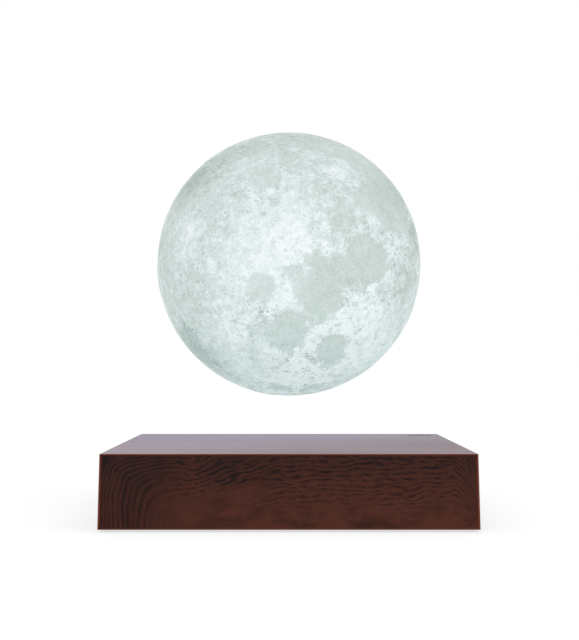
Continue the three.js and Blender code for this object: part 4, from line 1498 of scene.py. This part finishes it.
def moulded(name, rgb, roughness, grain, depth, spread=0.25):
    """Plastic or rubber from a textured mould."""

    def describe(sheet):
        at = sheet.place()
        fine = sheet.noise(at, grain, 4.0, 0.6)
        broad = sheet.noise(at, 0.15, 3.0, 0.5)
        shade = sheet.least(fine * 0.5 + broad * 0.5, 1.0)
        darker = tuple(channel * (1 - spread) for channel in rgb)
        lighter = tuple(min(1.0, channel * (1 + spread)) for channel in rgb)
        return {
            "Base Color": sheet.blend(shade, solid(darker), solid(lighter)),
            "Roughness": fine * 0.2 + (roughness - 0.1),
            "Normal": sheet.bump(fine, 0.4, depth),
        }

    return material(name, describe)


def metal(name, rgb, roughness, stretch):
    """Plated or turned metal with fine marks along one direction."""

    def describe(sheet):
        at = sheet.place()
        x, y, z = sheet.parts(at)
        marks = sheet.noise(sheet.combine(x * stretch[0], y * stretch[1], z * stretch[2]), 1.0, 5.0, 0.6)
        stain = sheet.noise(at, 0.4, 3.0, 0.6)
        darker = tuple(channel * 0.72 for channel in rgb)
        return {
            "Base Color": sheet.blend(stain * 0.6 + marks * 0.4, solid(darker), solid(rgb)),
            "Metallic": 1.0,
            "Roughness": marks * 0.25 + (roughness - 0.1),
            "Normal": sheet.bump(marks, 0.2, 0.00003),
        }

    return material(name, describe)


def circuit_board(name, mask, track):
    """Solder mask over copper tracks, with plated pads."""

    def describe(sheet):
        at = sheet.place()
        x, y, z = sheet.parts(at)
        bend = sheet.noise(at, 0.05, 0.0, 0.5)
        lanes = sheet.math("FRACT", (x + y * sheet.math("GREATER_THAN", bend, 0.5)) * 0.8)
        gaps = sheet.noise(sheet.combine(x * 0.3, y * 0.07, 1.0), 1.0, 2.0, 0.5)
        breaks = sheet.math("GREATER_THAN", gaps, 0.52)
        tracks = sheet.math("GREATER_THAN", lanes, 0.62) * breaks
        weave = sheet.noise(at, 3.0, 2.0, 0.5) * 0.15
        pads = sheet.cells(sheet.combine(x, y, 0.0), 0.22)
        pad = sheet.smooth(pads.output("Distance"), 0.24, 0.2)
        copper = sheet.blend(tracks * 0.8 + weave, solid(mask), solid(track))
        return {
            "Base Color": sheet.blend(pad, copper, solid(colour(196, 190, 170))),
            "Metallic": pad * 0.9,
            "Roughness": 0.45 - pad * 0.15 + weave * 0.3,
            "Normal": sheet.bump(tracks + pad * 0.5, 0.3, 0.00006),
        }

    return material(name, describe)


def wound_wire(name, rgb):
    """Enamelled copper wire."""

    def describe(sheet):
        at = sheet.place()
        tone = sheet.noise(at, 0.6, 4.0, 0.6)
        darker = tuple(channel * 0.6 for channel in rgb)
        return {
            "Base Color": sheet.blend(tone, solid(darker), solid(rgb)),
            "Metallic": 0.85,
            "Roughness": tone * 0.2 + 0.22,
            "Coat Weight": tone * 0.3 + 0.4,
        }

    return material(name, describe)


def speckled(name, rgb, other, scale, roughness, metallic):
    """Pressed powder: ferrite or iron."""

    def describe(sheet):
        at = sheet.place()
        grain = sheet.cells(at, scale)
        shade = sheet.parts(grain.output("Color"))[0]
        pores = sheet.noise(at, scale * 0.6, 4.0, 0.7)
        return {
            "Base Color": sheet.blend(shade * 0.5 + pores * 0.5, solid(rgb), solid(other)),
            "Metallic": metallic,
            "Roughness": pores * 0.25 + (roughness - 0.12),
            "Normal": sheet.bump(pores, 0.35, 0.00005),
        }

    return material(name, describe)


def lens_gel(name, rgb):
    """Phosphor gel of a white light-emitting diode, faintly lit."""

    def describe(sheet):
        at = sheet.place()
        cloud = sheet.noise(at, 1.8, 4.0, 0.6)
        lighter = tuple(min(1.0, channel * 1.3) for channel in rgb)
        tone = sheet.blend(cloud, solid(rgb), solid(lighter))
        return {
            "Base Color": tone,
            "Roughness": cloud * 0.2 + 0.25,
            "Emission Color": tone,
            "Emission Strength": 0.6,
        }

    return material(name, describe)


FINISHES = {
    "black_plastic": (moulded, colour(30, 30, 32), 0.6, 5.0, 0.00008),
    "rubber": (moulded, colour(36, 36, 37), 0.9, 9.0, 0.00005),
    "white_plastic": (moulded, colour(226, 227, 222), 0.5, 4.0, 0.00003, 0.05),
    "black_chip": (moulded, colour(27, 27, 29), 0.5, 8.0, 0.00003),
    "capacitor_sleeve": (moulded, colour(40, 50, 82), 0.35, 2.0, 0.00002),
    "steel": (metal, colour(188, 190, 194), 0.32, (2.0, 2.0, 14.0)),
    "nickel": (metal, colour(206, 206, 200), 0.2, (1.0, 1.0, 8.0)),
    "green_board": (circuit_board, colour(24, 78, 48), colour(48, 120, 72)),
    "white_board": (circuit_board, colour(232, 235, 231), colour(214, 218, 212)),
    "ferrite": (speckled, colour(46, 46, 50), colour(66, 66, 70), 4.0, 0.75, 0.1),
    "copper": (wound_wire, colour(196, 112, 62)),
    "led_lens": (lens_gel, colour(232, 208, 104)),
}


def finish(slot):
    """The material of a slot, made at its first use."""
    make, *values = FINISHES[slot]
    return bpy.data.materials.get(slot) or make(slot, *values)


# Solids of the small pieces, about the upright axis and in millimetres

def moved_to(node, mesh):
    """A mesh about the upright axis, moved to the middle of a node."""
    x, y, _ = middles([node])[0]
    return moved_mesh(mesh, x, y, 0)


def revolved(profile, segments=64):
    return lathe([(radius * MM, height * MM) for radius, height in profile], segments)


def pin(radius, low, high, segments=32):
    return rod(radius * MM, low * MM, high * MM, segments)


def disc(radius, low, high, edge=0.1, hole=0.0, segments=96):
    """A round plate with chamfered edges, or a ring where it has a hole."""
    near = hole + edge if hole else 0.0
    profile = [(near, low), (radius - edge, low), (radius, low + edge), (radius, high - edge)]
    profile += [(radius - edge, high), (near, high)]
    if hole:
        profile += [(hole, high - edge), (hole, low + edge)]
    return revolved(profile, segments)


def block(width, depth, low, high, corner=0.2, edge=0.0, steps=3):
    """An upright block with rounded corners and chamfered ends."""
    rings = [(0.0, low), (0.0, high)]
    if edge:
        rings = [(edge, low), (0.0, low + edge), (0.0, high - edge), (edge, high)]
    outlines = []
    for inset, height in rings:
        sizes = (width / 2 - inset, depth / 2 - inset, corner - inset * 0.5, height)
        outlines.append(outline(*[size * MM for size in sizes], steps))
    return lofted(outlines)


def prism(shape, width):
    """An outline in X and Z, counter-clockwise from the front, with a width along Y."""
    count = len(shape)
    sides = [[(x * MM, y * width * MM, z * MM) for x, z in shape] for y in (-0.5, 0.5)]
    faces = [tuple(range(count)), tuple(reversed(range(count, 2 * count)))]
    for i in range(count):
        j = (i + 1) % count
        faces.append((i, i + count, j + count, j))
    return mesh_of(sides[0] + sides[1], faces)


def slid(mesh, x=0.0, y=0.0, z=0.0, angle=0.0):
    return moved_mesh(mesh, x * MM, y * MM, z * MM, angle)


def cross(length, width, low, high):
    """The cutter for a cross recess."""
    bars = [slid(block(length, width, low, high, 0.1), angle=angle) for angle in (0.0, math.pi / 2)]
    return carved(bars[0], bars[1:], "UNION")


# Wire

WIRE_TREE_INPUTS = {
    "Turns": NUMBER,
    "Points": WHOLE,
    "Sides": WHOLE,
    "Start Radius": NUMBER,
    "End Radius": NUMBER,
    "Low": NUMBER,
    "Height": NUMBER,
    "Wire Radius": NUMBER,
}


def wire_tree():
    """Adds a round wire, wound about the upright axis, to the geometry."""
    sheet, given = geometry_tree("wound wire", WIRE_TREE_INPUTS)
    sockets = {name: given(name) for name in ("Start Radius", "End Radius", "Height")}
    sockets.update({"Resolution": given("Points"), "Rotations": given("Turns"), "Reverse": True})
    path = sheet.add("GeometryNodeCurveSpiral", None, sockets)
    sockets = {"Resolution": given("Sides"), "Radius": given("Wire Radius")}
    section = sheet.add("GeometryNodeCurvePrimitiveCircle", {"mode": "RADIUS"}, sockets)
    sockets = {"Curve": path, "Profile Curve": section, "Fill Caps": True}
    wire = sheet.add("GeometryNodeCurveToMesh", None, sockets)
    up = sheet.combine(0.0, 0.0, given("Low"))
    lifted = sheet.add("GeometryNodeTransform", None, {"Geometry": wire, "Translation": up})
    both = sheet.add("GeometryNodeJoinGeometry", None, {"Geometry": [given("Geometry"), lifted]})
    end_tree(sheet, given, both)
    return sheet.tree


def wound(inside, turns, radii, levels, wire, points=40, sides=8):
    """A mesh with a wire wound round it. radii and levels are those of the wire's centre line."""
    values = {
        "Turns": float(turns),
        "Points": points,
        "Sides": sides,
        "Start Radius": radii[0] * MM,
        "End Radius": radii[1] * MM,
        "Low": levels[0] * MM,
        "Height": (levels[1] - levels[0]) * MM,
        "Wire Radius": wire / 2 * MM,
    }
    return grown(shared_tree("wound wire", wire_tree), inside, values)


def bare_wire(*numbers, **more):
    return wound(mesh_of([], []), *numbers, **more)


def winding(node, hole, wire):
    """Many layers of wire: the outermost is wound, and those under it are a solid ring."""
    radius, low, high = upright(node)
    under = disc(radius - wire * 0.6, low + wire * 0.1, high - wire * 0.1, 0.02, hole, 64)
    levels = (low + wire / 2, high - wire / 2)
    turns = (levels[1] - levels[0]) / (wire * 1.03)
    return wound(under, turns, (radius - wire / 2,) * 2, levels, wire)


def screw_mesh(head, core, length, thread):
    """A screw with its head's flat face at zero and its point up. It has a thread and a cross recess."""
    width = head[0][0]
    depth = head[-1][1]
    point = [(core, length - core * 1.6), (core * 0.2, length), (0.0, length)]
    profile = [(0.0, 0.0), *head, (core, depth), *point]
    body = carved(revolved(profile, 48), [cross(width * 1.25, width * 0.25, -1.0, depth * 0.6)])
    levels = (depth + thread / 2, length - core * 1.8)
    turns = (levels[1] - levels[0]) / (thread * 1.9)
    return wound(body, turns, (core, core), levels, thread, 20, 6)


# What is made of them

SPRING_WIRE = 0.7
RING_HOLE = 0.73  # the hole of the ring magnet, as a share of its radius
TRAY_RADIUS = 46.05
COVER_THICKNESS = 2.0
LIP_LENGTH = 28.0
VENT_COUNT = 6
VENT_PITCH = 5.0
VENT_LENGTH = 26.0
JACK_DEPTH = 9.0
HANGS_BELOW = 5.0  # a package whose foot lies lower than this hangs under the main board
RECEIVE_HOLE = 14.1


def coil_pieces(fittings):
    """The four levitation coils, the power coil under the top and the touch electrode."""
    windings = numbered("coil_winding", 4)
    places = middles(windings)
    core_radius, core_low, core_high = upright("coil_core_1")
    bobbin_radius, low, high = upright("coil_bobbin_1")
    bore = core_radius + 0.3
    tube = bore + 0.8
    wire = fittings.coil_wire / MM
    centred = winding("coil_winding_1", tube + 0.1, wire)
    add_piece("coil_wires", copies(centred, places), "copper", windings)
    spool = revolved([
        (bore, low),
        (bobbin_radius - 0.2, low),
        (bobbin_radius, low + 0.2),
        (bobbin_radius, low + 0.6),
        (bobbin_radius - 0.2, low + 0.8),
        (tube, low + 0.8),
        (tube, high - 0.8),
        (bobbin_radius - 0.2, high - 0.8),
        (bobbin_radius, high - 0.6),
        (bobbin_radius, high - 0.2),
        (bobbin_radius - 0.2, high),
        (bore, high),
    ], 72)
    notch = block(2.4, 1.2, high - 1.0, high + 1.0, 0.5)
    spool = carved(spool, [turned(slid(notch, bobbin_radius), [math.pi / 2, 1.25 * math.pi])])
    add_piece("coil_spools", copies(spool, places), "white_plastic", numbered("coil_bobbin", 4))
    iron = disc(core_radius, core_low, core_high, 0.3, segments=48)
    iron = carved(iron, [block(3.4, 0.7, core_high - 0.7, core_high + 1.0, 0.1)])
    add_piece("coil_irons", copies(iron, places), "steel", numbered("coil_core", 4))
    litz = fittings.litz / MM
    outer = upright("ring_magnet")[0] - litz / 2
    level = box_of("transmit_coil")[1].z / MM + 0.03 - litz / 2
    flat = bare_wire(5, (outer, outer - 10.0), (level, level), litz, points=110, sides=10)
    add_piece("transmit_wire", flat, "copper", ["transmit_coil"])
    radius, low, high = upright("touch_spring")
    inset = SPRING_WIRE / 2
    spring = bare_wire(4, (radius - inset,) * 2, (low + inset, high - inset), SPRING_WIRE, sides=12)
    add_piece("touch_spring_wire", moved_to("touch_spring", spring), "steel", ["touch_spring"])


def tray_mesh(hub):
    """The tray of the ring magnet before its arms: an outer wall, a hub and a post."""
    outer = TRAY_RADIUS
    rim = outer - 1.7
    hub_inner = hub - 1.2
    foot = box_of("magnet_tray")[0].z / MM
    floor = foot + 1.2
    top = box_of("magnet_tray")[1].z / MM
    return revolved([
        (0.0, foot),
        (outer - 0.3, foot),
        (outer, foot + 0.3),
        (outer, floor + 4.8),
        (outer - 0.2, floor + 5.0),
        (rim + 0.2, floor + 5.0),
        (rim, floor + 4.8),
        (rim, floor),
        (hub, floor),
        (hub, floor + 2.3),
        (hub - 0.2, floor + 2.5),
        (hub_inner + 0.2, floor + 2.5),
        (hub_inner, floor + 2.3),
        (hub_inner, floor),
        (2.5, floor),
        (2.5, top - 0.2),
        (2.3, top),
        (0.0, top),
    ], 128)


def bearings(places):
    """The angle at which each place lies, seen from the upright axis."""
    return [math.atan2(y, x) for x, y, _ in places]


def magnet_pieces():
    radius, low, high = upright("ring_magnet")
    hole = radius * RING_HOLE
    magnet = disc(radius, low, high, 0.4, hole, 128)
    add_piece("ring_magnet_block", magnet, "ferrite", ["ring_magnet"])
    foot = box_of("magnet_tray")[0].z / MM
    screws = middles(CASE_SCREWS)
    arm = slid(block(5.35, 6.0, foot, foot + 2.0, 0.2), TRAY_RADIUS + 1.825)
    pads = copies(disc(3.0, foot, foot + 2.0, segments=48), screws)
    holes = copies(pin(1.6, foot - 1.0, foot + 3.0), screws)
    tray = carved(tray_mesh(hole - 0.3), [turned(arm, bearings(screws)), pads], "UNION")
    add_piece("magnet_tray_moulding", carved(tray, [holes]), "black_plastic", ["magnet_tray"])


def cover_piece():
    low, high = box_of("bottom_cover")
    half = high.x / MM
    foot = low.z / MM
    top = foot + COVER_THICKNESS
    screws = middles(CASE_SCREWS)
    body = block(2 * half, 2 * half, foot, top, 0.8, 0.2, CORNER_STEPS)
    lip = slid(block(1.2, LIP_LENGTH, top - 1.0, top + 1.5, 0.3), half - 1.8)
    lips = turned(lip, [math.pi / 2 * i for i in range(4)])
    spacers = copies(pin(3.0, top - 1.0, high.z / MM), screws)
    hole = revolved([
        (0.0, foot - 1.0),
        (2.7, foot - 1.0),
        (2.7, foot + 0.2),
        (1.5, foot + 1.6),
        (1.5, top + 4.0),
        (0.0, top + 4.0),
    ], 48)
    pocket = revolved([(0.0, foot - 1.0), (5.3, foot - 1.0), (5.3, foot + 0.8), (0.0, foot + 0.8)], 72)
    vent = block(2.0, VENT_LENGTH, foot - 1.0, top + 1.0, 0.95, steps=6)
    first = (1 - VENT_COUNT) / 2
    vents = copies(vent, [((first + i) * VENT_PITCH * MM, 0, 0) for i in range(VENT_COUNT)])
    cover = carved(body, [lips, spacers], "UNION")
    cover = carved(cover, [copies(hole, screws), copies(pocket, middles(FEET)), vents])
    add_piece("bottom_cover_moulding", cover, "black_plastic", ["bottom_cover"])


def foot_and_screw_pieces(fittings):
    radius, low, high = upright("foot_1")
    foot = revolved([
        (0.0, 0.3),
        (2.2, 0.3),
        (2.45, 0.05),
        (2.6, 0.0),
        (3.3, 0.0),
        (3.45, 0.15),
        (3.6, 0.15),
        (3.75, 0.0),
        (radius - 0.6, 0.0),
        (radius - 0.18, 0.15),
        (radius, 0.5),
        (radius, high - 0.1),
        (radius - 0.1, high),
        (0.0, high),
    ], 72)
    add_piece("rubber_feet", copies(foot, middles(FEET)), "rubber", FEET)
    low, high = box_of("case_screw_1")
    thread = fittings.thread / MM
    head = [(2.35, 0.0), (2.5, 0.12), (1.3, 1.4)]
    screw = slid(screw_mesh(head, 1.3 - thread / 2, (high.z - low.z) / MM, thread), z=low.z / MM)
    add_piece("case_screws", copies(screw, middles(CASE_SCREWS)), "steel", CASE_SCREWS)


def jack_mesh():
    """The body of the power jack, with a bore for the plug and three grooves across its top."""
    low, high = box_of("power_jack")
    x, y, _ = middles(["power_jack"])[0]
    face = high.y / MM
    floor = face - JACK_DEPTH
    top = high.z / MM
    width, depth, _ = (high - low) / MM
    bore = revolved([
        (0.0, floor),
        (3.2, floor),
        (3.2, face - 0.5),
        (3.7, face),
        (3.7, face + 1.0),
        (0.0, face + 1.0),
    ], 72)
    pin_hole = pin(1.1, low.y / MM - 1.0, face)
    groove = block(width + 2.0, 0.8, top - 0.5, top + 1.0, 0.1)
    grooves = copies(groove, [(x, y + step * 2.4 * MM, 0) for step in (-1, 0, 1)])
    body = moved_to("power_jack", block(width, depth, low.z / MM, top, 0.5, 0.3))
    return carved(body, [along_jack(bore), along_jack(pin_hole), grooves])


def jack_pieces():
    add_piece("jack_body", jack_mesh(), "black_plastic", ["power_jack"])
    rear = box_of("power_jack")[0].y / MM
    tip = box_of("jack_pin")[1].y / MM
    contact = revolved([
        (0.0, rear),
        (1.0, rear),
        (1.0, rear + 3.0),
        (0.93, rear + 3.1),
        (0.93, rear + 3.5),
        (1.0, rear + 3.6),
        (1.0, tip - 0.5),
        (0.87, tip - 0.2),
        (0.5, tip),
        (0.0, tip),
    ], 32)
    add_piece("jack_contact", along_jack(contact), "nickel", ["jack_pin"])


def package_mesh(width, depth, low, high, hangs):
    """A moulded package with a dimple near its first lead, on the face away from the board."""
    dimple = pin(0.25, low - 1.0, low + 0.1, 16) if hangs else pin(0.25, high - 0.1, high + 1.0, 16)
    body = block(width, depth, low, high, 0.15, 0.15)
    return carved(body, [slid(dimple, 0.7 - width / 2, 0.6 - depth / 2)])


def lead_mesh(start, reach, middle, level, step):
    """A gull-wing lead that points right and steps up to its board, or down where step is below zero."""
    bend = start + (reach - start) * 0.45
    shape = [
        (start, middle - step),
        (bend, middle - step),
        (bend + 0.15, level - 2 * step),
        (reach, level - 2 * step),
        (reach, level),
        (bend, level),
        (bend - 0.15, middle + step),
        (start, middle + step),
    ]
    return prism(shape if step > 0 else shape[::-1], 0.3)


def soldered(node, body_width, body_depth, rows):
    """A package as its body and its leads. Each row is its side in quarter turns, the number of its
    leads and their spacing."""
    low, high = (corner / MM for corner in box_of(node))
    x, y = ((low + high) / 2).xy
    hangs = low.z < HANGS_BELOW
    level = high.z if hangs else low.z
    step = 0.1 if hangs else -0.1
    body_low, body_high = (low.z, high.z - 0.15) if hangs else (low.z + 0.15, high.z)
    body = package_mesh(body_width, body_depth, body_low, body_high, hangs)
    leads = []
    for quarter, count, spacing in rows:
        across = quarter % 2 == 0
        reach = (high.x - low.x if across else high.y - low.y) / 2
        start = (body_width if across else body_depth) / 2 - 0.2
        lead = lead_mesh(start, reach, (low.z + high.z) / 2, level, step)
        for i in range(count):
            in_row = slid(lead.copy(), y=(i - (count - 1) / 2) * spacing)
            leads.append(slid(in_row, angle=quarter * math.pi / 2))
    return slid(body, x, y), slid(joined(leads), x, y)


# Width and depth of the packages, and their rows of leads
DRIVER = (7.6, 4.2, ((1, 8, 0.92), (3, 8, 0.92)))
CONTROLLER = (5.4, 5.4, tuple((quarter, 8, 0.6) for quarter in range(4)))
HALL_SENSOR = (2.9, 1.2, ((1, 2, 1.9), (3, 1, 1.0)))
RECTIFIER = (3.9, 2.4, ((1, 2, 2.4), (3, 2, 2.4)))


def chip_pieces():
    chips = {
        **dict.fromkeys(numbered("driver_chip", 2), DRIVER),
        "controller_chip": CONTROLLER,
        **dict.fromkeys(numbered("hall_sensor", 3), HALL_SENSOR),
    }
    made = [soldered(node, *sizes) for node, sizes in chips.items()]
    add_piece("chip_bodies", joined([body for body, _ in made]), "black_chip", list(chips))
    add_piece("chip_leads", joined([leads for _, leads in made]), "steel", [])
    body, leads = soldered("bridge_rectifier", *RECTIFIER)
    add_piece("rectifier_body", body, "black_chip", ["bridge_rectifier"], "moon")
    add_piece("rectifier_leads", leads, "steel", [], "moon")


def can_mesh(node):
    """An electrolytic capacitor in its sleeve, with a rolled groove and a vent in its top."""
    radius, low, high = upright(node)
    third = (high - low) / 3
    can = revolved([
        (0.0, low),
        (radius - 0.3, low),
        (radius, low + 0.3),
        (radius, low + third * 0.4),
        (radius - 0.3, low + third * 0.5),
        (radius, low + third * 0.6),
        (radius, high - 0.4),
        (radius - 0.4, high),
        (radius * 0.84, high),
        (radius * 0.82, high - 0.12),
        (0.0, high - 0.12),
    ])
    vent = cross(radius * 1.2, radius * 0.08, high - 0.3, high + 1.0)
    return moved_to(node, carved(can, [vent]))


def board_pieces():
    for node, slot, body in (
        ("sensor_board", "green_board", "base"),
        ("rectifier_board", "green_board", "moon"),
        ("light_board", "white_board", "moon"),
    ):
        mesh = disc(*upright(node), 0.08)
        if node == "light_board":
            mesh = carved(mesh, [copies(pin(0.9, 60.0, 70.0), middles(POST_SCREWS))])
        add_piece(node + "_disc", mesh, slot, [node], body)
    repaint(finish("green_board"), "main_board")
    for node, body in (("bulk_capacitor", "base"), ("smoothing_capacitor", "moon")):
        add_piece(node + "_can", can_mesh(node), "capacitor_sleeve", [node], body)
    low, high = box_of("power_inductor")
    width, depth, _ = (high - low) / MM
    top = high.z / MM
    choke = block(width, depth, low.z / MM, top, 2.0, 0.35, 6)
    choke = carved(choke, [disc(3.9, top - 0.3, top + 1.0, 0.01, 3.5, 64)])
    add_piece("inductor_body", moved_to("power_inductor", choke), "ferrite", ["power_inductor"])


def post_pieces():
    """The post that holds up the lights, with its lead and its screws."""
    radius, low, high = upright("light_post")
    post = revolved([
        (1.8, low),
        (radius - 0.2, low),
        (radius, low + 0.2),
        (radius, low + 1.0),
        (radius - 0.2, low + 1.2),
        (6.5, low + 1.2),
        (6.15, low + 1.35),
        (6.0, low + 1.7),
        (6.0, high - 0.3),
        (5.7, high),
        (1.8, high),
    ])
    screws = middles(POST_SCREWS)
    pilots = copies(pin(0.9, upright("post_screw_1")[1] - 0.1, high + 1.0), screws)
    add_piece("light_post_moulding", carved(post, [pilots]), "white_plastic", ["light_post"], "moon")
    low, high = box_of("light_lead")
    core = bare_wire(3.5, (0.39, 0.39), (low.z / MM + 0.2, high.z / MM - 0.2), 0.78, points=24)
    add_piece("light_lead_pair", turned(core, [0.0, math.pi]), "rubber", ["light_lead"], "moon")
    low, high = box_of("post_screw_1")
    head = [(0.8, 0.0), (1.3, 0.2), (1.62, 0.6), (1.7, 1.1)]
    screw = screw_mesh(head, 0.6, (high.z - low.z) / MM, 0.4)
    screw.transform(Matrix.Translation((0, 0, high.z)) @ Matrix.Rotation(math.pi, 4, "X"))
    add_piece("post_screws", copies(screw, screws), "steel", POST_SCREWS, "moon")


def led_pieces():
    """The lights: a frame with a dish, and the gel in it."""
    low, high = box_of("led_1")
    top = high.z / MM
    dish = revolved([
        (0.0, top - 0.3),
        (0.95, top - 0.3),
        (1.2, top + 0.03),
        (1.2, top + 1.0),
        (0.0, top + 1.0),
    ], 32)
    gel = revolved([
        (0.0, top - 0.35),
        (0.9, top - 0.35),
        (1.12, top - 0.08),
        (0.7, top - 0.02),
        (0.0, top),
    ], 32)
    places = middles(LIGHTS)
    turns = bearings(places)
    led_frame = carved(block(3.5, 2.8, low.z / MM, top, 0.2, 0.06), [dish])
    add_piece("led_frames", copies(led_frame, places, turns), "white_plastic", [], "moon")
    add_piece("led_gels", copies(gel, places, turns), "led_lens", LIGHTS, "moon")


def light_pieces(fittings):
    """Everything inside the moon but its boards: the magnet, the power coil, the post and the lights."""
    radius, low, high = upright("float_magnet")
    add_piece("float_magnet_disc", disc(radius, low, high, 0.4), "nickel", ["float_magnet"], "moon")
    wire = winding("receive_coil", RECEIVE_HOLE, fittings.receive_wire / MM)
    add_piece("receive_wire", wire, "copper", ["receive_coil"], "moon")
    post_pieces()
    led_pieces()


class LAMP_OT_coils(bpy.types.Operator):
    """Build the coils, the spring of the touch switch and the magnet's tray"""

    bl_idname = "lamp.coils"
    bl_label = "Coils and Magnet"

    def execute(self, context):
        coil_pieces(context.scene.lamp.fittings)
        magnet_pieces()
        return {"FINISHED"}


class LAMP_OT_underside(bpy.types.Operator):
    """Build the bottom cover, the feet, the screws and the power jack"""

    bl_idname = "lamp.underside"
    bl_label = "Underside and Power Jack"

    def execute(self, context):
        cover_piece()
        foot_and_screw_pieces(context.scene.lamp.fittings)
        jack_pieces()
        return {"FINISHED"}


class LAMP_OT_electronics(bpy.types.Operator):
    """Build the boards with their chips, and the light inside the moon"""

    bl_idname = "lamp.electronics"
    bl_label = "Electronics and Light"

    def execute(self, context):
        chip_pieces()
        board_pieces()
        light_pieces(context.scene.lamp.fittings)
        return {"FINISHED"}


# Stage

FLOOR_HALF = 6.0
FLOOR_ALBEDO = 0.8
FLOOR_SHADOW = 0.42
SENSOR = 36.0
KEY_FROM = (0.2, -1.0, 0.4)
KEY_WIDTH = 110


def seen_rays(sheet):
    """1 for rays of the camera and for those that gloss and glass send on."""
    path = sheet.add("ShaderNodeLightPath")
    camera = path.output("Is Camera Ray")
    glossy = path.output("Is Glossy Ray")
    clear = path.output("Is Transmission Ray")
    return sheet.most(sheet.most(camera, glossy), clear)


def floor_material(lit):
    """Pale floor that looks white where the light on it is lit, and keeps the shadow."""
    made = bpy.data.materials.new("pale_floor")
    sheet = emptied(made)
    plain = sheet.add("ShaderNodeBsdfDiffuse", None, {"Color": solid((FLOOR_ALBEDO,) * 3)})
    shaded = sheet.add("ShaderNodeBsdfDiffuse", None, {"Color": solid((FLOOR_SHADOW,) * 3)})
    missing = 1 - FLOOR_SHADOW * lit
    white = sheet.add("ShaderNodeEmission", None, {"Color": solid((missing,) * 3), "Strength": 1.0})
    seen = sheet.add("ShaderNodeAddShader", None, {0: shaded, 1: white})
    mixed = sheet.add("ShaderNodeMixShader", None, {"Fac": seen_rays(sheet), 1: plain, 2: seen})
    sheet.add("ShaderNodeOutputMaterial", None, {"Surface": mixed})
    return made


def studio_world(ambient):
    """White to the eye and in reflections, and plain soft light on everything else."""
    world = bpy.data.worlds.new("studio")
    sheet = emptied(world)
    seen = seen_rays(sheet)
    strength = seen * (1 - ambient) + ambient
    light = sheet.add("ShaderNodeBackground", None, {"Color": solid((1, 1, 1)), "Strength": strength})
    sheet.add("ShaderNodeOutputWorld", None, {"Surface": light})
    bpy.context.scene.world = world


class LAMP_OT_stage(bpy.types.Operator):
    """Set up the camera, the floor and the light"""

    bl_idname = "lamp.stage"
    bl_label = "Stage"

    def execute(self, context):
        stage = context.scene.lamp.stage
        camera = bpy.data.cameras.new("camera")
        camera.sensor_width = SENSOR
        camera.lens = SENSOR * stage.focal_pixels / max(IMAGE_WIDTH, IMAGE_HEIGHT)
        camera.clip_start = 0.01
        camera.clip_end = 50.0
        stand = linked("camera", camera)
        stand.location = (stage.camera_aside, -stage.camera_distance, stage.camera_height)
        stand.rotation_euler = (math.pi / 2 + stage.camera_pitch, 0, 0)
        context.scene.camera = stand
        key = bpy.data.lights.new("key", "SUN")
        key.energy = stage.key * math.pi
        key.angle = math.radians(KEY_WIDTH)
        lamp = linked("key", key)
        towards = Vector(KEY_FROM).normalized()
        lamp.rotation_euler = towards.to_track_quat("Z", "Y").to_euler()
        sides = [(-1, -1), (1, -1), (1, 1), (-1, 1)]
        corners = [(x * FLOOR_HALF, y * FLOOR_HALF, 0) for x, y in sides]
        floor = linked("floor", mesh_of(corners, [(0, 1, 2, 3)]))
        floor.data.materials.append(floor_material(stage.ambient + stage.key * towards.z))
        studio_world(stage.ambient)
        context.scene.view_settings.view_transform = "Standard"
        return {"FINISHED"}


OPERATORS = (
    LAMP_OT_stage,
    LAMP_OT_moon,
    LAMP_OT_housing,
    LAMP_OT_coils,
    LAMP_OT_underside,
    LAMP_OT_electronics,
)


class LAMP_PT_panel(bpy.types.Panel):
    """Settings and pieces of the lamp"""

    bl_label = "Moon Lamp"
    bl_idname = "LAMP_PT_panel"
    bl_space_type = "VIEW_3D"
    bl_region_type = "UI"
    bl_category = "Moon Lamp"

    def draw(self, context):
        lamp = context.scene.lamp
        for title, group in (
            ("Moon", lamp.moon),
            ("Wood Film", lamp.wood),
            ("Base", lamp.base),
            ("Fittings", lamp.fittings),
            ("Stage", lamp.stage),
        ):
            box = self.layout.box()
            box.label(text=title)
            for name in group.bl_rna.properties.keys():
                if name not in ("rna_type", "name"):
                    box.prop(group, name)
        for operator in OPERATORS:
            self.layout.operator(operator.bl_idname)


CLASSES = (
    MoonSettings,
    WoodSettings,
    BaseSettings,
    FittingSettings,
    StageSettings,
    LampSettings,
    *OPERATORS,
    LAMP_PT_panel,
)


def register():
    for item in CLASSES:
        bpy.utils.register_class(item)
    bpy.types.Scene.lamp = PointerProperty(type=LampSettings)


def unregister():
    del bpy.types.Scene.lamp
    for item in reversed(CLASSES):
        bpy.utils.unregister_class(item)


def main():
    register()
    bpy.ops.lamp.stage()
    bpy.ops.lamp.moon()
    bpy.ops.lamp.housing()
    bpy.ops.lamp.coils()
    bpy.ops.lamp.underside()
    bpy.ops.lamp.electronics()
    bpy.context.view_layer.update()


if __name__ == "__main__":
    main()
